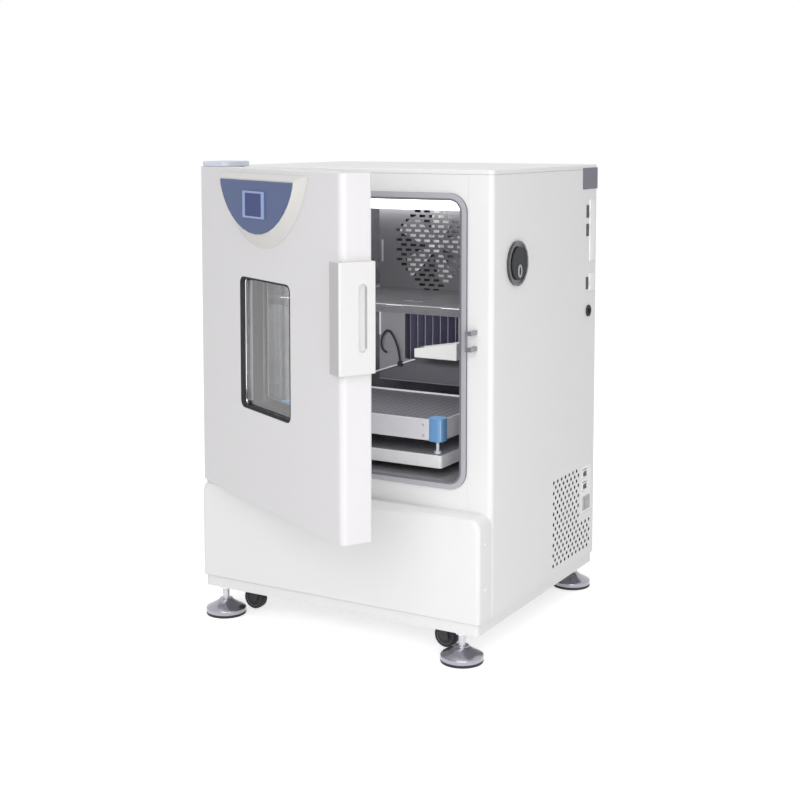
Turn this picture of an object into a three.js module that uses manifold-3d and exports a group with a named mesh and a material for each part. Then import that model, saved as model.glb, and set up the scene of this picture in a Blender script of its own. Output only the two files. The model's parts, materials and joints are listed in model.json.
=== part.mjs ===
// Upright shaking incubator: a cabinet on levelling feet with a side-hinged door, a lit and
// fan-stirred steel chamber, and a tray that orbits on three eccentric cranks.
// Millimetres, +Z up. The cabinet is drawn with X = 0 at its middle, Y = 0 at its front face
// (+Y to the rear) and Z = 0 at the floor. At the end the whole is moved so that the origin is
// the bottom centre of its box.
import * as THREE from "three";
import { mergeVertices } from "three/addons/utils/BufferGeometryUtils.js";
import Module from "manifold-3d";

const wasm = await Module();
wasm.setup();

// Cabinet
const cabinetWidth = 610;
const cabinetDepth = 487;
const cabinetHeight = 827;
const footHeight = 55;
const sheet = 2;
const seam = 0.3;
const overrun = 5;
const cabinetCorner = 10;
const skirtHeight = 21.5;
const skirtInset = 4;
const topLip = 9;
const topEdgeRound = 3;
const frontReturn = 49;
const rearReturn = 17;
const footFlange = 16;

// Lower front panel
const lowerPanelDepth = 48;
const lowerPanelHeight = 190;
const lowerPanelEdge = 8;
const lowerPanelTopCorner = 22;

// Chamber and its mouth
const sideWall = 63;
const rearWall = 77;
const roofWall = 56;
const chamberWidth = cabinetWidth - 2 * sideWall;
const chamberDepth = cabinetDepth - rearWall;
const chamberFloorHeight = 262;
const chamberHeight = cabinetHeight - chamberFloorHeight - roofWall;
const chamberCorner = 21;
const linerWall = 1.5;
const gasketWidth = 13.5;
const gasketThickness = 5.2;
const machineRoomHeight = 208;

// Door
const doorOpenDegrees = 28.3;
const doorSideGap = 2;
const doorEdgeSet = 45;
const doorWidth = cabinetWidth - doorSideGap - doorEdgeSet;
const doorBackGap = 6;
const doorThickness = 58.5;
const doorBottomGap = 6;
const doorCorner = 12;
const doorHingeRound = 24;
const hingeInset = 31;
const hingeForward = 48;
const hingePinRadius = 5;
const hingePinLength = 24;
const runningGap = 0.3;

// Window in the door
const windowWidth = 198;
const windowSet = 4;
const windowDrop = 196.5;
const windowRise = 171;
const windowCorner = 14;
const windowFrameWall = 3;
const windowRebate = 14;
const paneThickness = 4;
const outerPaneDepth = 9;

// Control pod on the door
const podWidth = 340;
const podHeight = 134;
const podDrop = 7;
const podDepth = 14;
const faceWidth = 285;
const faceHeight = 96;
const faceDrop = 12;
const faceThickness = 2.5;
const displayWidth = 84;
const displayHeight = 48;
const displayDrop = 19;
const displayThickness = 2;
const screenWidth = 64;
const screenHeight = 41;
const screenRecess = 0.8;

// Handle and latch
const handleWidth = 35.5;
const handleHeight = 183;
const handleRise = 284.5;
const handleOverhang = 19;
const handleProud = 14.5;
const handleRound = 4;
const gripWidth = 16;
const gripLength = 112;
const gripDepth = 8.5;
const gripSetback = 36;
const gripRise = 35.5;
const handleBackSet = 5.6;
const pocketWall = 2;
const pocketDepth = 19.5;
const pocketPlay = 2;
const leverSlotDepth = 27.5;
const leverPlay = 1;
const leverThickness = 2.6;
const leverHeight = 19;
const leverReach = 11.2;
const leverPinRadius = 1.6;
const nibReach = 4;
const nibDepth = 4;
const strikeWidth = 13.5;
const strikeHeight = 37;
const strikeProud = 24;
const strikePlate = 4;
const strikeSpine = 3;
const strikeArm = 8;

// Facets: sides of round forms
const roundSides = 18;
const smallSides = 10;
const arcSteps = 3;
const mouthSteps = 5;
const footSides = 12;
const boltSides = 8;
const hexSides = 6;
const edgeSteps = 2;
const wheelSides = 12;

// Places worked out from the sizes above
const halfWidth = cabinetWidth / 2;
const baseTop = footHeight + skirtHeight;
const cabinetTop = footHeight + cabinetHeight;
const panelBottom = baseTop + seam;
const panelTop = cabinetTop - topLip - seam;
const lowerPanelTop = baseTop + lowerPanelHeight;
const chamberFloor = footHeight + chamberFloorHeight;
const chamberCeiling = chamberFloor + chamberHeight;
const insulationBottom = baseTop + machineRoomHeight;
const doorLeft = -halfWidth + doorSideGap;
const doorRight = doorLeft + doorWidth;
const doorBack = -doorBackGap;
const doorFront = doorBack - doorThickness;
const doorBottom = lowerPanelTop + doorBottomGap;
const doorMiddle = (doorLeft + doorRight) / 2;
const hingeX = -halfWidth + hingeInset;
const hingeY = -hingeForward;

// Materials, each with the look of the real surface
const finish = (color, roughness, metalness) => ({ color, roughness, metalness });
const finishes = {
  paint: finish(0xeceae9, 0.45, 0.1),
  doorPaint: finish(0xe2e0e1, 0.45, 0.1),
  gripPlastic: finish(0xf1f0ef, 0.5, 0),
  podPlastic: finish(0xefede6, 0.45, 0),
  facePlastic: finish(0x6274a0, 0.35, 0),
  frameBlue: finish(0x8c9bc3, 0.3, 0),
  stainless: finish(0x92938f, 0.3, 0.9),
  zinc: finish(0xb9bcc0, 0.35, 0.9),
  aluminium: finish(0xc6c8cc, 0.4, 0.8),
  castIron: finish(0x5a5d62, 0.6, 0.6),
  darkPaint: finish(0x2c2d30, 0.5, 0.3),
  gasketRubber: finish(0x77757e, 0.7, 0),
  blackRubber: finish(0x2a2b2e, 0.75, 0),
  blackPlastic: finish(0x1f2023, 0.45, 0),
  greyPlastic: finish(0x8d8f94, 0.5, 0),
  whitePlastic: finish(0xf2f2f0, 0.4, 0),
  deckGrey: finish(0x55565c, 0.6, 0.4),
  footGrey: finish(0x5c6066, 0.5, 0.3),
  glass: finish(0xcfd8dc, 0.05, 0),
  lampWhite: finish(0xffffff, 0.6, 0),
  woolYellow: finish(0xd9c88e, 0.95, 0),
};

// Solids from three.js geometry
function solid(geometry) {
  const bare = geometry.index ? geometry.toNonIndexed() : geometry.clone();
  for (const extra of ["normal", "uv", "color"]) bare.deleteAttribute(extra);
  const merged = mergeVertices(bare, 1e-4);
  const triVerts = new Uint32Array(merged.index.array);
  const vertProperties = new Float32Array(merged.attributes.position.array);
  if (signedVolume(vertProperties, triVerts) < 0) {
    for (let i = 0; i < triVerts.length; i += 3) {
      [triVerts[i + 1], triVerts[i + 2]] = [triVerts[i + 2], triVerts[i + 1]];
    }
  }
  return new wasm.Manifold(new wasm.Mesh({ numProp: 3, vertProperties, triVerts }));
}

function signedVolume(positions, triangles) {
  let volume = 0;
  const corners = [new THREE.Vector3(), new THREE.Vector3(), new THREE.Vector3()];
  for (let i = 0; i < triangles.length; i += 3) {
    corners.forEach((corner, k) => corner.fromArray(positions, 3 * triangles[i + k]));
    volume += corners[0].dot(corners[1].cross(corners[2]));
  }
  return volume;
}

function box(xLow, xHigh, yLow, yHigh, zLow, zHigh) {
  const geometry = new THREE.BoxGeometry(xHigh - xLow, yHigh - yLow, zHigh - zLow);
  geometry.translate((xLow + xHigh) / 2, (yLow + yHigh) / 2, (zLow + zHigh) / 2);
  return solid(geometry);
}

// A rectangle with a radius at each corner: lower left, lower right, upper right, upper left
function roundedRectangle(uLow, uHigh, vLow, vHigh, radii) {
  const [a, b, c, d] = Array.isArray(radii) ? radii : [radii, radii, radii, radii];
  const shape = new THREE.Shape();
  shape.moveTo(uLow + a, vLow);
  shape.lineTo(uHigh - b, vLow);
  if (b > 0) shape.absarc(uHigh - b, vLow + b, b, -Math.PI / 2, 0);
  shape.lineTo(uHigh, vHigh - c);
  if (c > 0) shape.absarc(uHigh - c, vHigh - c, c, 0, Math.PI / 2);
  shape.lineTo(uLow + d, vHigh);
  if (d > 0) shape.absarc(uLow + d, vHigh - d, d, Math.PI / 2, Math.PI);
  shape.lineTo(uLow, vLow + a);
  if (a > 0) shape.absarc(uLow + a, vLow + a, a, Math.PI, (3 * Math.PI) / 2);
  return shape;
}

function polygon(points) {
  return new THREE.Shape(points.map(([u, v]) => new THREE.Vector2(u, v)));
}

const extrudeBases = {
  x: [new THREE.Vector3(0, 1, 0), new THREE.Vector3(0, 0, 1), new THREE.Vector3(1, 0, 0)],
  y: [new THREE.Vector3(1, 0, 0), new THREE.Vector3(0, 0, 1), new THREE.Vector3(0, -1, 0)],
  z: [new THREE.Vector3(1, 0, 0), new THREE.Vector3(0, 1, 0), new THREE.Vector3(0, 0, 1)],
};

// A shape drawn in the plane square to the axis, pushed from low to high along it. Its u and v
// are Y and Z for the x axis, X and Z for the y axis, and X and Y for the z axis.
function prism(shape, axis, low, high, steps = arcSteps) {
  const geometry = new THREE.ExtrudeGeometry(shape, {
    depth: high - low,
    bevelEnabled: false,
    curveSegments: steps,
  });
  geometry.applyMatrix4(new THREE.Matrix4().makeBasis(...extrudeBases[axis]));
  const start = axis === "y" ? high : low;
  geometry.translate(axis === "x" ? start : 0, axis === "y" ? start : 0, axis === "z" ? start : 0);
  return solid(geometry);
}

// The same with a rounded front edge all round, for a shape drawn in X and Z
function softFrontPrism(shape, front, back, edge, steps = arcSteps) {
  const geometry = new THREE.ExtrudeGeometry(shape, {
    depth: back - front,
    bevelEnabled: true,
    bevelThickness: edge,
    bevelSize: edge,
    bevelOffset: -edge,
    bevelSegments: edgeSteps + 1,
    curveSegments: steps,
  });
  geometry.applyMatrix4(new THREE.Matrix4().makeBasis(...extrudeBases.y));
  geometry.translate(0, back + edge, 0);
  const whole = solid(geometry);
  const bounds = whole.boundingBox();
  const behind = box(
    bounds.min[0] - overrun,
    bounds.max[0] + overrun,
    back,
    bounds.max[1] + overrun,
    bounds.min[2] - overrun,
    bounds.max[2] + overrun,
  );
  return whole.subtract(behind);
}

// A round bar along an axis through a point
function bar(axis, centre, radius, low, high, sides = roundSides) {
  const geometry = new THREE.CylinderGeometry(radius, radius, high - low, sides);
  if (axis === "z") geometry.rotateX(Math.PI / 2);
  if (axis === "x") geometry.rotateZ(-Math.PI / 2);
  const middle = (low + high) / 2;
  const place = { x: [middle, centre[0], centre[1]], y: [centre[0], middle, centre[1]] };
  geometry.translate(...(place[axis] ?? [centre[0], centre[1], middle]));
  return solid(geometry);
}

// A bore whose flats still clear a pin that turns in it
function runningBore(axis, centre, pinRadius, low, high, sides = smallSides, gap = runningGap) {
  return bar(axis, centre, (pinRadius + gap) / Math.cos(Math.PI / sides), low, high, sides);
}

// A form turned about Z from a profile of radius and height, which starts and ends on the axis
function turned(profile, sides = roundSides) {
  const points = profile.map(([radius, height]) => new THREE.Vector2(radius, height));
  const geometry = new THREE.LatheGeometry(points, sides);
  geometry.rotateX(Math.PI / 2);
  return solid(geometry);
}

function join(...pieces) {
  return pieces.reduce((whole, piece) => whole.add(piece));
}

function cut(whole, ...tools) {
  return tools.reduce((rest, tool) => rest.subtract(tool), whole);
}

// Adds a named mesh to a group
function addPiece(group, name, form, look) {
  const mesh = form.getMesh();
  const geometry = new THREE.BufferGeometry();
  geometry.setAttribute("position", new THREE.BufferAttribute(new Float32Array(mesh.vertProperties), 3));
  geometry.setIndex(new THREE.BufferAttribute(new Uint32Array(mesh.triVerts), 1));
  geometry.computeVertexNormals();
  const material = new THREE.MeshStandardMaterial(finishes[look]);
  const piece = new THREE.Mesh(geometry, material);
  piece.name = name;
  group.add(piece);
  return piece;
}

const incubator = new THREE.Group();
const mirrorX = (form) => form.mirror([1, 0, 0]);

// Levelling feet and casters: where they stand
const footInset = 43;
const footFrontSet = -30;
const footRearInset = 18;
const studRadius = 6;
const bossWall = 6;
const bossHeight = 16;
const casterInset = 105;
const casterFrontSet = 4;
const casterRearInset = 75;
const casterPlateHalf = 22;
const casterPinRadius = 5;
const casterHeadTop = 68;
const footPlaces = [
  ["front_left", footInset - halfWidth, footFrontSet],
  ["front_right", halfWidth - footInset, footFrontSet],
  ["rear_left", footInset - halfWidth, cabinetDepth - footRearInset],
  ["rear_right", halfWidth - footInset, cabinetDepth - footRearInset],
];
const casterPlaces = [
  ["front_left", casterInset - halfWidth, casterFrontSet],
  ["front_right", halfWidth - casterInset, casterFrontSet],
  ["rear_left", casterInset - halfWidth, cabinetDepth - casterRearInset],
  ["rear_right", halfWidth - casterInset, cabinetDepth - casterRearInset],
];

// Base frame: a pressed pan with a deck, a skirt round it, threaded bosses and caster pads
const skirtWall = 3;
const deckThickness = 3;
const baseCorner = 8;

function baseFrame() {
  const outline = roundedRectangle(
    skirtInset - halfWidth,
    halfWidth - skirtInset,
    skirtInset - lowerPanelDepth,
    cabinetDepth - skirtInset,
    baseCorner,
  );
  const inside = roundedRectangle(
    skirtInset + skirtWall - halfWidth,
    halfWidth - skirtInset - skirtWall,
    skirtInset + skirtWall - lowerPanelDepth,
    cabinetDepth - skirtInset - skirtWall,
    baseCorner - skirtWall,
  );
  const deckUnder = baseTop - deckThickness;
  let pan = prism(outline, "z", footHeight, baseTop).subtract(
    prism(inside, "z", footHeight - overrun, deckUnder),
  );
  for (const [, x, y] of footPlaces) {
    const bossLow = deckUnder - bossHeight;
    pan = pan.add(bar("z", [x, y], studRadius + bossWall, bossLow, baseTop, smallSides));
    const high = baseTop + overrun;
    pan = pan.subtract(runningBore("z", [x, y], studRadius, bossLow - overrun, high, footSides));
  }
  for (const [, x, y] of casterPlaces) {
    const half = casterPlateHalf;
    pan = pan.add(box(x - half, x + half, y - half, y + half, casterHeadTop + seam, baseTop));
    pan = pan.subtract(runningBore("z", [x, y], casterPinRadius, footHeight, baseTop + overrun));
  }
  return pan;
}
addPiece(incubator, "base_frame", baseFrame(), "paint");

// Levelling foot: rubber-soled domed pad, threaded stud and lock nut, turned in its boss
const padRadius = 39.5;
const padSole = 13;
const padDomeHeight = 15;
const padNeckRadius = 14;
const padShoulderShares = { out: 0.6, up: 0.8 };
const studTop = baseTop - seam;
const nutRadius = 11;
const nutHeight = 8;
const nutGap = 0.5;
const collarRadius = 10;
const collarHeight = 6;

function levellingFoot() {
  const domeTop = padSole + padDomeHeight;
  const nutTop = baseTop - deckThickness - bossHeight - nutGap;
  const pad = turned([
    [0, 0],
    [padRadius - 2 * seam, 0],
    [padRadius, padSole / 3],
    [padRadius, padSole],
    [padRadius * padShoulderShares.out, padSole + padDomeHeight * padShoulderShares.up],
    [padNeckRadius, domeTop],
    [collarRadius, domeTop],
    [collarRadius, domeTop + collarHeight],
    [studRadius, domeTop + collarHeight],
    [studRadius, studTop],
    [0, studTop],
  ], footSides);
  return pad.add(bar("z", [0, 0], nutRadius, nutTop - nutHeight, nutTop, hexSides));
}
for (const [corner, x, y] of footPlaces) {
  addPiece(incubator, "levelling_foot_" + corner, levellingFoot(), "footGrey").position.set(x, y, 0);
}

// Caster: a swivel fork with a trailing wheel that clears the floor while the feet carry
const wheelRadius = 22.5;
const wheelWidth = 18;
const wheelClearance = 8;
const casterTrail = 14;
const axleRadius = 3;
const cheekThickness = 2.5;
const cheekGap = 1;
const cheekHalfWidth = 9;
const headThickness = 3;
const headRadius = 20;
const wheelShares = { dish: 0.62, hub: 0.34, dishDepth: 0.5 };
const axleHeight = wheelClearance + wheelRadius;

function casterFork() {
  const inner = wheelWidth / 2 + cheekGap;
  const outer = inner + cheekThickness;
  const headUnder = casterHeadTop - headThickness;
  const cheek = polygon([
    [-cheekHalfWidth, headUnder],
    [casterTrail - cheekHalfWidth, axleHeight - cheekHalfWidth / 2],
    [casterTrail, axleHeight - cheekHalfWidth],
    [casterTrail + cheekHalfWidth, axleHeight - cheekHalfWidth / 2],
    [cheekHalfWidth + casterTrail / 2, headUnder],
    [cheekHalfWidth, casterHeadTop],
    [-cheekHalfWidth, casterHeadTop],
  ]);
  return join(
    bar("z", [0, 0], headRadius, headUnder, casterHeadTop, smallSides),
    bar("z", [0, 0], casterPinRadius, headUnder, baseTop - seam, smallSides),
    prism(cheek, "y", inner, outer),
    prism(cheek, "y", -outer, -inner),
    bar("y", [casterTrail, axleHeight], axleRadius, -outer, outer, smallSides),
  );
}

function casterWheel() {
  const half = wheelWidth / 2;
  const tread = bar("y", [0, 0], wheelRadius, -half, half, wheelSides);
  const dish = wheelRadius * wheelShares.dish;
  const hub = wheelRadius * wheelShares.hub;
  const bore = runningBore("y", [0, 0], axleRadius, -half - overrun, half + overrun);
  const dishDepth = half * wheelShares.dishDepth;
  const ring = (low, high) =>
    bar("y", [0, 0], dish, low, high, wheelSides).subtract(
      bar("y", [0, 0], hub, low - overrun, high + overrun, smallSides),
    );
  return cut(tread, ring(-half - overrun, -half + dishDepth), ring(half - dishDepth, half + overrun), bore);
}
for (const [corner, x, y] of casterPlaces) {
  const outward = Math.sign(x);
  const form = outward < 0 ? mirrorX(casterFork()) : casterFork();
  const fork = addPiece(incubator, "caster_fork_" + corner, form, "darkPaint");
  fork.position.set(x, y, 0);
  const wheel = addPiece(incubator, "caster_wheel_" + corner, casterWheel(), "blackRubber");
  wheel.position.set(x + outward * casterTrail, y, axleHeight);
}

// Access port through the right wall
const portSet = 97;
const portRise = 655;
const portTubeRadius = 28;
const portTubeWall = 3;
const portFlangeRadius = 41.5;
const portFlangeThickness = 5;
const portHeight = footHeight + portRise;

// Vent, switch plate, connector recesses and cable grommet on the right side
const ventHoleRadius = 4.6;
const ventSides = 4;
const ventPitchAcross = 19;
const ventPitchUp = 10.4;
const ventRearSet = 211;
const ventFront = cabinetDepth - ventRearSet;
const ventColumns = 10;
const ventRows = 17;
const ventRise = 43;
const notchRearSet = 79;
const notchFront = cabinetDepth - notchRearSet;
const notchRise = 100;
const switchPlateRearSet = 75;
const switchPlateFront = cabinetDepth - switchPlateRearSet;
const switchPlateWidth = 56;
const switchPlateRise = 114;
const switchPlateHeight = 98;
const connectorRearSet = 60;
const connectorFront = cabinetDepth - connectorRearSet;
const connectorWidth = 46;
const upperConnectorRise = 630;
const upperConnectorHeight = 128;
const lowerConnectorRise = 569;
const lowerConnectorHeight = 39;
const connectorDepth = 1;
const socketWidth = 12;
const socketHeight = 12;
const socketInset = 6;
const socketDrops = [26, 52];
const lowerSocketDrop = 14;
const grommetRearSet = 47;
const grommetSet = cabinetDepth - grommetRearSet;
const grommetRise = 531;
const grommetRadius = 12;
const grommetBore = 7;

// Bottom hinge leaf, welded to the left panel's front return
const hingeLeafThickness = 1.8;
const hingeLeafWidth = 34;
const hingeLeafForward = 58;

const panelFootprint = (inset) =>
  roundedRectangle(
    inset - halfWidth,
    halfWidth - inset,
    inset,
    cabinetDepth - inset,
    Math.max(cabinetCorner - inset, seam),
  );

// A side panel: sheet bent round the front and rear corners, with a foot flange on the deck
function sidePanel() {
  const ring = prism(panelFootprint(0), "z", panelBottom, panelTop).subtract(
    prism(panelFootprint(sheet), "z", panelBottom - overrun, panelTop + overrun),
  );
  const middle = cabinetDepth / 2;
  const right = halfWidth + overrun;
  const low = panelBottom - overrun;
  const high = panelTop + overrun;
  const keep = join(
    box(halfWidth - frontReturn + seam, right, -overrun, middle, low, high),
    box(halfWidth - rearReturn, right, middle - overrun, cabinetDepth + overrun, low, high),
  );
  const inner = halfWidth - sheet / 2;
  const flange = box(
    halfWidth - footFlange,
    inner,
    cabinetCorner * 2,
    cabinetDepth - cabinetCorner * 2,
    panelBottom,
    panelBottom + sheet,
  );
  return ring.intersect(keep).add(flange);
}

function leftSidePanel() {
  const leafLow = lowerPanelTop + seam;
  const leafHigh = leafLow + hingeLeafThickness;
  const leaf = roundedRectangle(
    hingeX - hingeLeafWidth / 2,
    hingeX + hingeLeafWidth / 2,
    -hingeLeafForward,
    sheet / 2,
    [hingeLeafWidth / 3, hingeLeafWidth / 3, 0, 0],
  );
  const pin = bar("z", [hingeX, hingeY], hingePinRadius, leafLow, leafHigh + hingePinLength, smallSides);
  return join(mirrorX(sidePanel()), prism(leaf, "z", leafLow, leafHigh), pin);
}

function ventHoles() {
  const holes = [];
  for (let row = 0; row < ventRows; row++) {
    for (let column = 0; column < ventColumns; column++) {
      const y = ventFront + ventPitchAcross * (column + (row % 2) / 2);
      const z = footHeight + ventRise + ventPitchUp * row;
      if (y > notchFront && z > footHeight + notchRise) continue;
      holes.push(bar("x", [y, z], ventHoleRadius, halfWidth - sheet * 2, halfWidth + overrun, ventSides));
    }
  }
  return wasm.Manifold.union(holes);
}

// A shallow recess for a connector strip, with its sockets cut deeper
function connectorRecess(rise, height, drops) {
  const top = footHeight + rise + height;
  const face = halfWidth - connectorDepth;
  const shape = roundedRectangle(
    connectorFront,
    connectorFront + connectorWidth,
    top - height,
    top,
    sheet,
  );
  const sockets = drops.map((drop) =>
    box(
      halfWidth - sheet - overrun,
      face + overrun,
      connectorFront + socketInset,
      connectorFront + socketInset + socketWidth,
      top - drop - socketHeight,
      top - drop,
    ),
  );
  return join(prism(shape, "x", face, halfWidth + overrun), ...sockets);
}

function rightSidePanel() {
  const through = [halfWidth - sheet - overrun, halfWidth + overrun];
  const switchHole = box(
    ...through,
    switchPlateFront,
    switchPlateFront + switchPlateWidth,
    footHeight + switchPlateRise,
    footHeight + switchPlateRise + switchPlateHeight,
  );
  return cut(
    sidePanel(),
    bar("x", [portSet, portHeight], portTubeRadius + seam, ...through),
    bar("x", [grommetSet, footHeight + grommetRise], grommetRadius - sheet, ...through, smallSides),
    switchHole,
    connectorRecess(upperConnectorRise, upperConnectorHeight, socketDrops),
    connectorRecess(lowerConnectorRise, lowerConnectorHeight, [lowerSocketDrop]),
    ventHoles(),
  );
}
addPiece(incubator, "left_side_panel", leftSidePanel(), "paint");
addPiece(incubator, "right_side_panel", rightSidePanel(), "paint");

// Rear panel with two banks of louvre slots low down
const rearSlotWidth = 120;
const rearSlotHeight = 6;
const rearSlotPitch = 20;
const rearSlotCount = 7;
const rearSlotRise = 60;
const rearSlotGap = 60;

function rearPanel() {
  const half = halfWidth - rearReturn - seam;
  const slots = [];
  for (let row = 0; row < rearSlotCount; row++) {
    const z = footHeight + rearSlotRise + row * rearSlotPitch;
    for (const side of [-1, 1]) {
      const near = (side * rearSlotGap) / 2;
      const far = near + side * rearSlotWidth;
      const [low, high] = [Math.min(near, far), Math.max(near, far)];
      const [front, back] = [cabinetDepth - sheet - overrun, cabinetDepth + overrun];
      slots.push(box(low, high, front, back, z, z + rearSlotHeight));
    }
  }
  const plate = box(-half, half, cabinetDepth - sheet, cabinetDepth, panelBottom, panelTop);
  return plate.subtract(wasm.Manifold.union(slots));
}
addPiece(incubator, "rear_panel", rearPanel(), "paint");

// Top cover: a pressed lid whose lip meets the panels, with a rounded upper edge
function topCover() {
  const geometry = new THREE.ExtrudeGeometry(panelFootprint(0), {
    depth: topLip,
    bevelEnabled: true,
    bevelThickness: topEdgeRound,
    bevelSize: topEdgeRound,
    bevelOffset: -topEdgeRound,
    bevelSegments: edgeSteps,
    curveSegments: arcSteps,
  });
  geometry.translate(0, 0, cabinetTop - topLip - topEdgeRound);
  const reach = cabinetWidth;
  const below = box(-reach, reach, -reach, reach, 0, cabinetTop - topLip);
  const inside = prism(panelFootprint(sheet), "z", 0, cabinetTop - sheet);
  return cut(solid(geometry), below, inside);
}
addPiece(incubator, "top_cover", topCover(), "paint");

// Front frame round the chamber mouth
const frameClearance = linerWall + seam;

function mouth(spread, front, back) {
  const shape = roundedRectangle(
    -chamberWidth / 2 - spread,
    chamberWidth / 2 + spread,
    chamberFloor - spread,
    chamberCeiling + spread,
    chamberCorner + spread,
  );
  return prism(shape, "y", front, back, mouthSteps);
}

function frontFrame() {
  const half = halfWidth - frontReturn;
  const plate = box(-half, half, 0, sheet, panelBottom, panelTop);
  return plate.subtract(mouth(frameClearance, -overrun, sheet + overrun));
}
addPiece(incubator, "front_frame", frontFrame(), "paint");

// Door gasket: a ring pressed on the front frame round the mouth
function doorGasket() {
  const back = -seam;
  const front = back - gasketThickness;
  return mouth(gasketWidth, front, back).subtract(mouth(0, front - overrun, back + overrun));
}
addPiece(incubator, "door_gasket", doorGasket(), "gasketRubber");

// Lower front panel: a deep cover with softened front edges, open to the rear
function lowerFrontPanel() {
  const outline = (inset, bottom) =>
    roundedRectangle(inset - halfWidth, halfWidth - inset, bottom, lowerPanelTop - inset, [
      0,
      0,
      lowerPanelTopCorner - inset,
      lowerPanelTopCorner - inset,
    ]);
  const tall = outline(0, panelBottom - lowerPanelEdge * 2);
  const shell = softFrontPrism(tall, -lowerPanelDepth, -seam, lowerPanelEdge);
  const below = box(
    -cabinetWidth,
    cabinetWidth,
    -cabinetWidth,
    cabinetWidth,
    0,
    panelBottom,
  );
  const inside = prism(outline(sheet * 2, panelBottom - overrun), "y", sheet - lowerPanelDepth, overrun);
  return cut(shell, below, inside);
}
addPiece(incubator, "lower_front_panel", lowerFrontPanel(), "paint");

// Drive: one driven and two idle eccentric cranks carry the tray round a small circle
const orbitRadius = 13;
const carriageSideGap = 61;
const carriageFront = 40;
const carriageRearGap = 120;
const carriageHalfWidth = chamberWidth / 2 - carriageSideGap;
const carriageDepth = chamberDepth - carriageFront - carriageRearGap;
const crankSideInset = 71;
const crankEndInset = 55;
const crankReach = carriageHalfWidth - crankSideInset;
const crankFront = carriageFront + crankEndInset;
const crankRear = carriageFront + carriageDepth - crankEndInset;
const crankPlaces = {
  main: [0, crankFront],
  left: [-crankReach, crankRear],
  right: [crankReach, crankRear],
};
const shaftRadius = 10;
const towerRadius = 25;
const towerAboveFloor = 1;
const webGap = 0.4;
const webThickness = 3.4;
const webRadius = 22;
const eccentricPinRadius = 8;
const eccentricPinLength = 16;
const bearingPlateTop = 270;
const bearingPlateThickness = 8;
const pulleyTop = 245;
const pulleyHeight = 18;
const pulleyRim = 3;
const mainPulleyRadius = 60;
const motorPulleyRadius = 25;
const crankAxes = Object.fromEntries(
  Object.entries(crankPlaces).map(([name, [x, y]]) => [name, [x, y - orbitRadius]]),
);
const towerTop = chamberFloor + towerAboveFloor;
const webBottom = towerTop + webGap;
const webTop = webBottom + webThickness;

// Chamber liner: a welded steel box open to the front, with four shelf studs
const shelfLift = 304;
const shelfStudRadius = 4;
const shelfStudLength = 9;
const shelfStudSets = [70, 300];
const shelfThickness = 1.5;
const shelfLip = 8;
const fanDrop = 113;
const fanHeight = chamberCeiling - fanDrop;
const fanShaftRadius = 4;
const fanShaftHole = 8;
const liner = { back: chamberDepth + linerWall };
const shelfTop = chamberFloor + shelfLift;

function chamberLiner() {
  let shell = mouth(linerWall, 0, liner.back).subtract(mouth(0, -overrun, chamberDepth));
  for (const [x, y] of Object.values(crankAxes)) {
    const low = chamberFloor - linerWall - overrun;
    shell = shell.subtract(bar("z", [x, y], towerRadius + seam, low, chamberFloor + overrun));
  }
  for (const y of shelfStudSets) {
    for (const side of [-1, 1]) {
      const wall = (side * chamberWidth) / 2;
      const tip = wall - side * shelfStudLength;
      const z = shelfTop - shelfThickness - shelfLip - shelfStudRadius - seam;
      const low = Math.min(wall, tip) - linerWall / 2;
      const high = Math.max(wall, tip) + linerWall / 2;
      shell = shell.add(bar("x", [y, z], shelfStudRadius, low, high, boltSides));
    }
  }
  const fanCentre = [0, fanHeight];
  const behind = liner.back + overrun;
  const fanHole = bar("y", fanCentre, fanShaftHole, chamberDepth - overrun, behind, smallSides);
  const portHole = bar(
    "x",
    [portSet, portHeight],
    portTubeRadius + seam,
    chamberWidth / 2 - overrun,
    chamberWidth / 2 + linerWall + overrun,
  );
  return cut(shell, fanHole, portHole);
}
addPiece(incubator, "chamber_liner", chamberLiner(), "stainless");

// Fan motor behind the chamber, in a pocket of the insulation
const fanMotorRadius = 36;
const fanMotorLength = 56;
const fanMotorBoss = 14;
const fanMotorBossLength = 8;

// Insulation between liner and panels
function insulation() {
  const blanket = prism(panelFootprint(sheet + seam), "z", insulationBottom, panelTop - seam);
  const frontCut = box(-cabinetWidth, cabinetWidth, -overrun, sheet + seam, 0, cabinetTop);
  const towers = Object.values(crankAxes).map(([x, y]) =>
    bar("z", [x, y], towerRadius + seam, insulationBottom - overrun, chamberFloor + overrun),
  );
  const motorPocket = bar(
    "y",
    [0, fanHeight],
    fanMotorRadius + seam,
    chamberDepth - overrun,
    cabinetDepth + overrun,
  );
  const portPocket = bar("x", [portSet, portHeight], portTubeRadius + seam, 0, cabinetWidth);
  const grommetPocket = bar(
    "x",
    [grommetSet, footHeight + grommetRise],
    grommetRadius + seam,
    halfWidth - frontReturn,
    cabinetWidth,
    smallSides,
  );
  const connectorPocket = box(
    halfWidth - frontReturn,
    cabinetWidth,
    connectorFront,
    connectorFront + connectorWidth,
    footHeight + lowerConnectorRise,
    footHeight + upperConnectorRise + upperConnectorHeight,
  );
  return cut(
    blanket,
    frontCut,
    mouth(frameClearance, -overrun, liner.back + seam),
    ...towers,
    motorPocket,
    portPocket,
    grommetPocket,
    connectorPocket,
  );
}
addPiece(incubator, "insulation", insulation(), "woolYellow");

// Access port: a flanged sleeve through the wall, and its plug, which pulls out
const plugRadius = 24.6;
const plugLength = 46;
const plugHeadRadius = 31;
const plugHeadThickness = 5;
const plugGripLength = 34;
const plugGripWidth = 5;
const plugGripHeight = 8;

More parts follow.
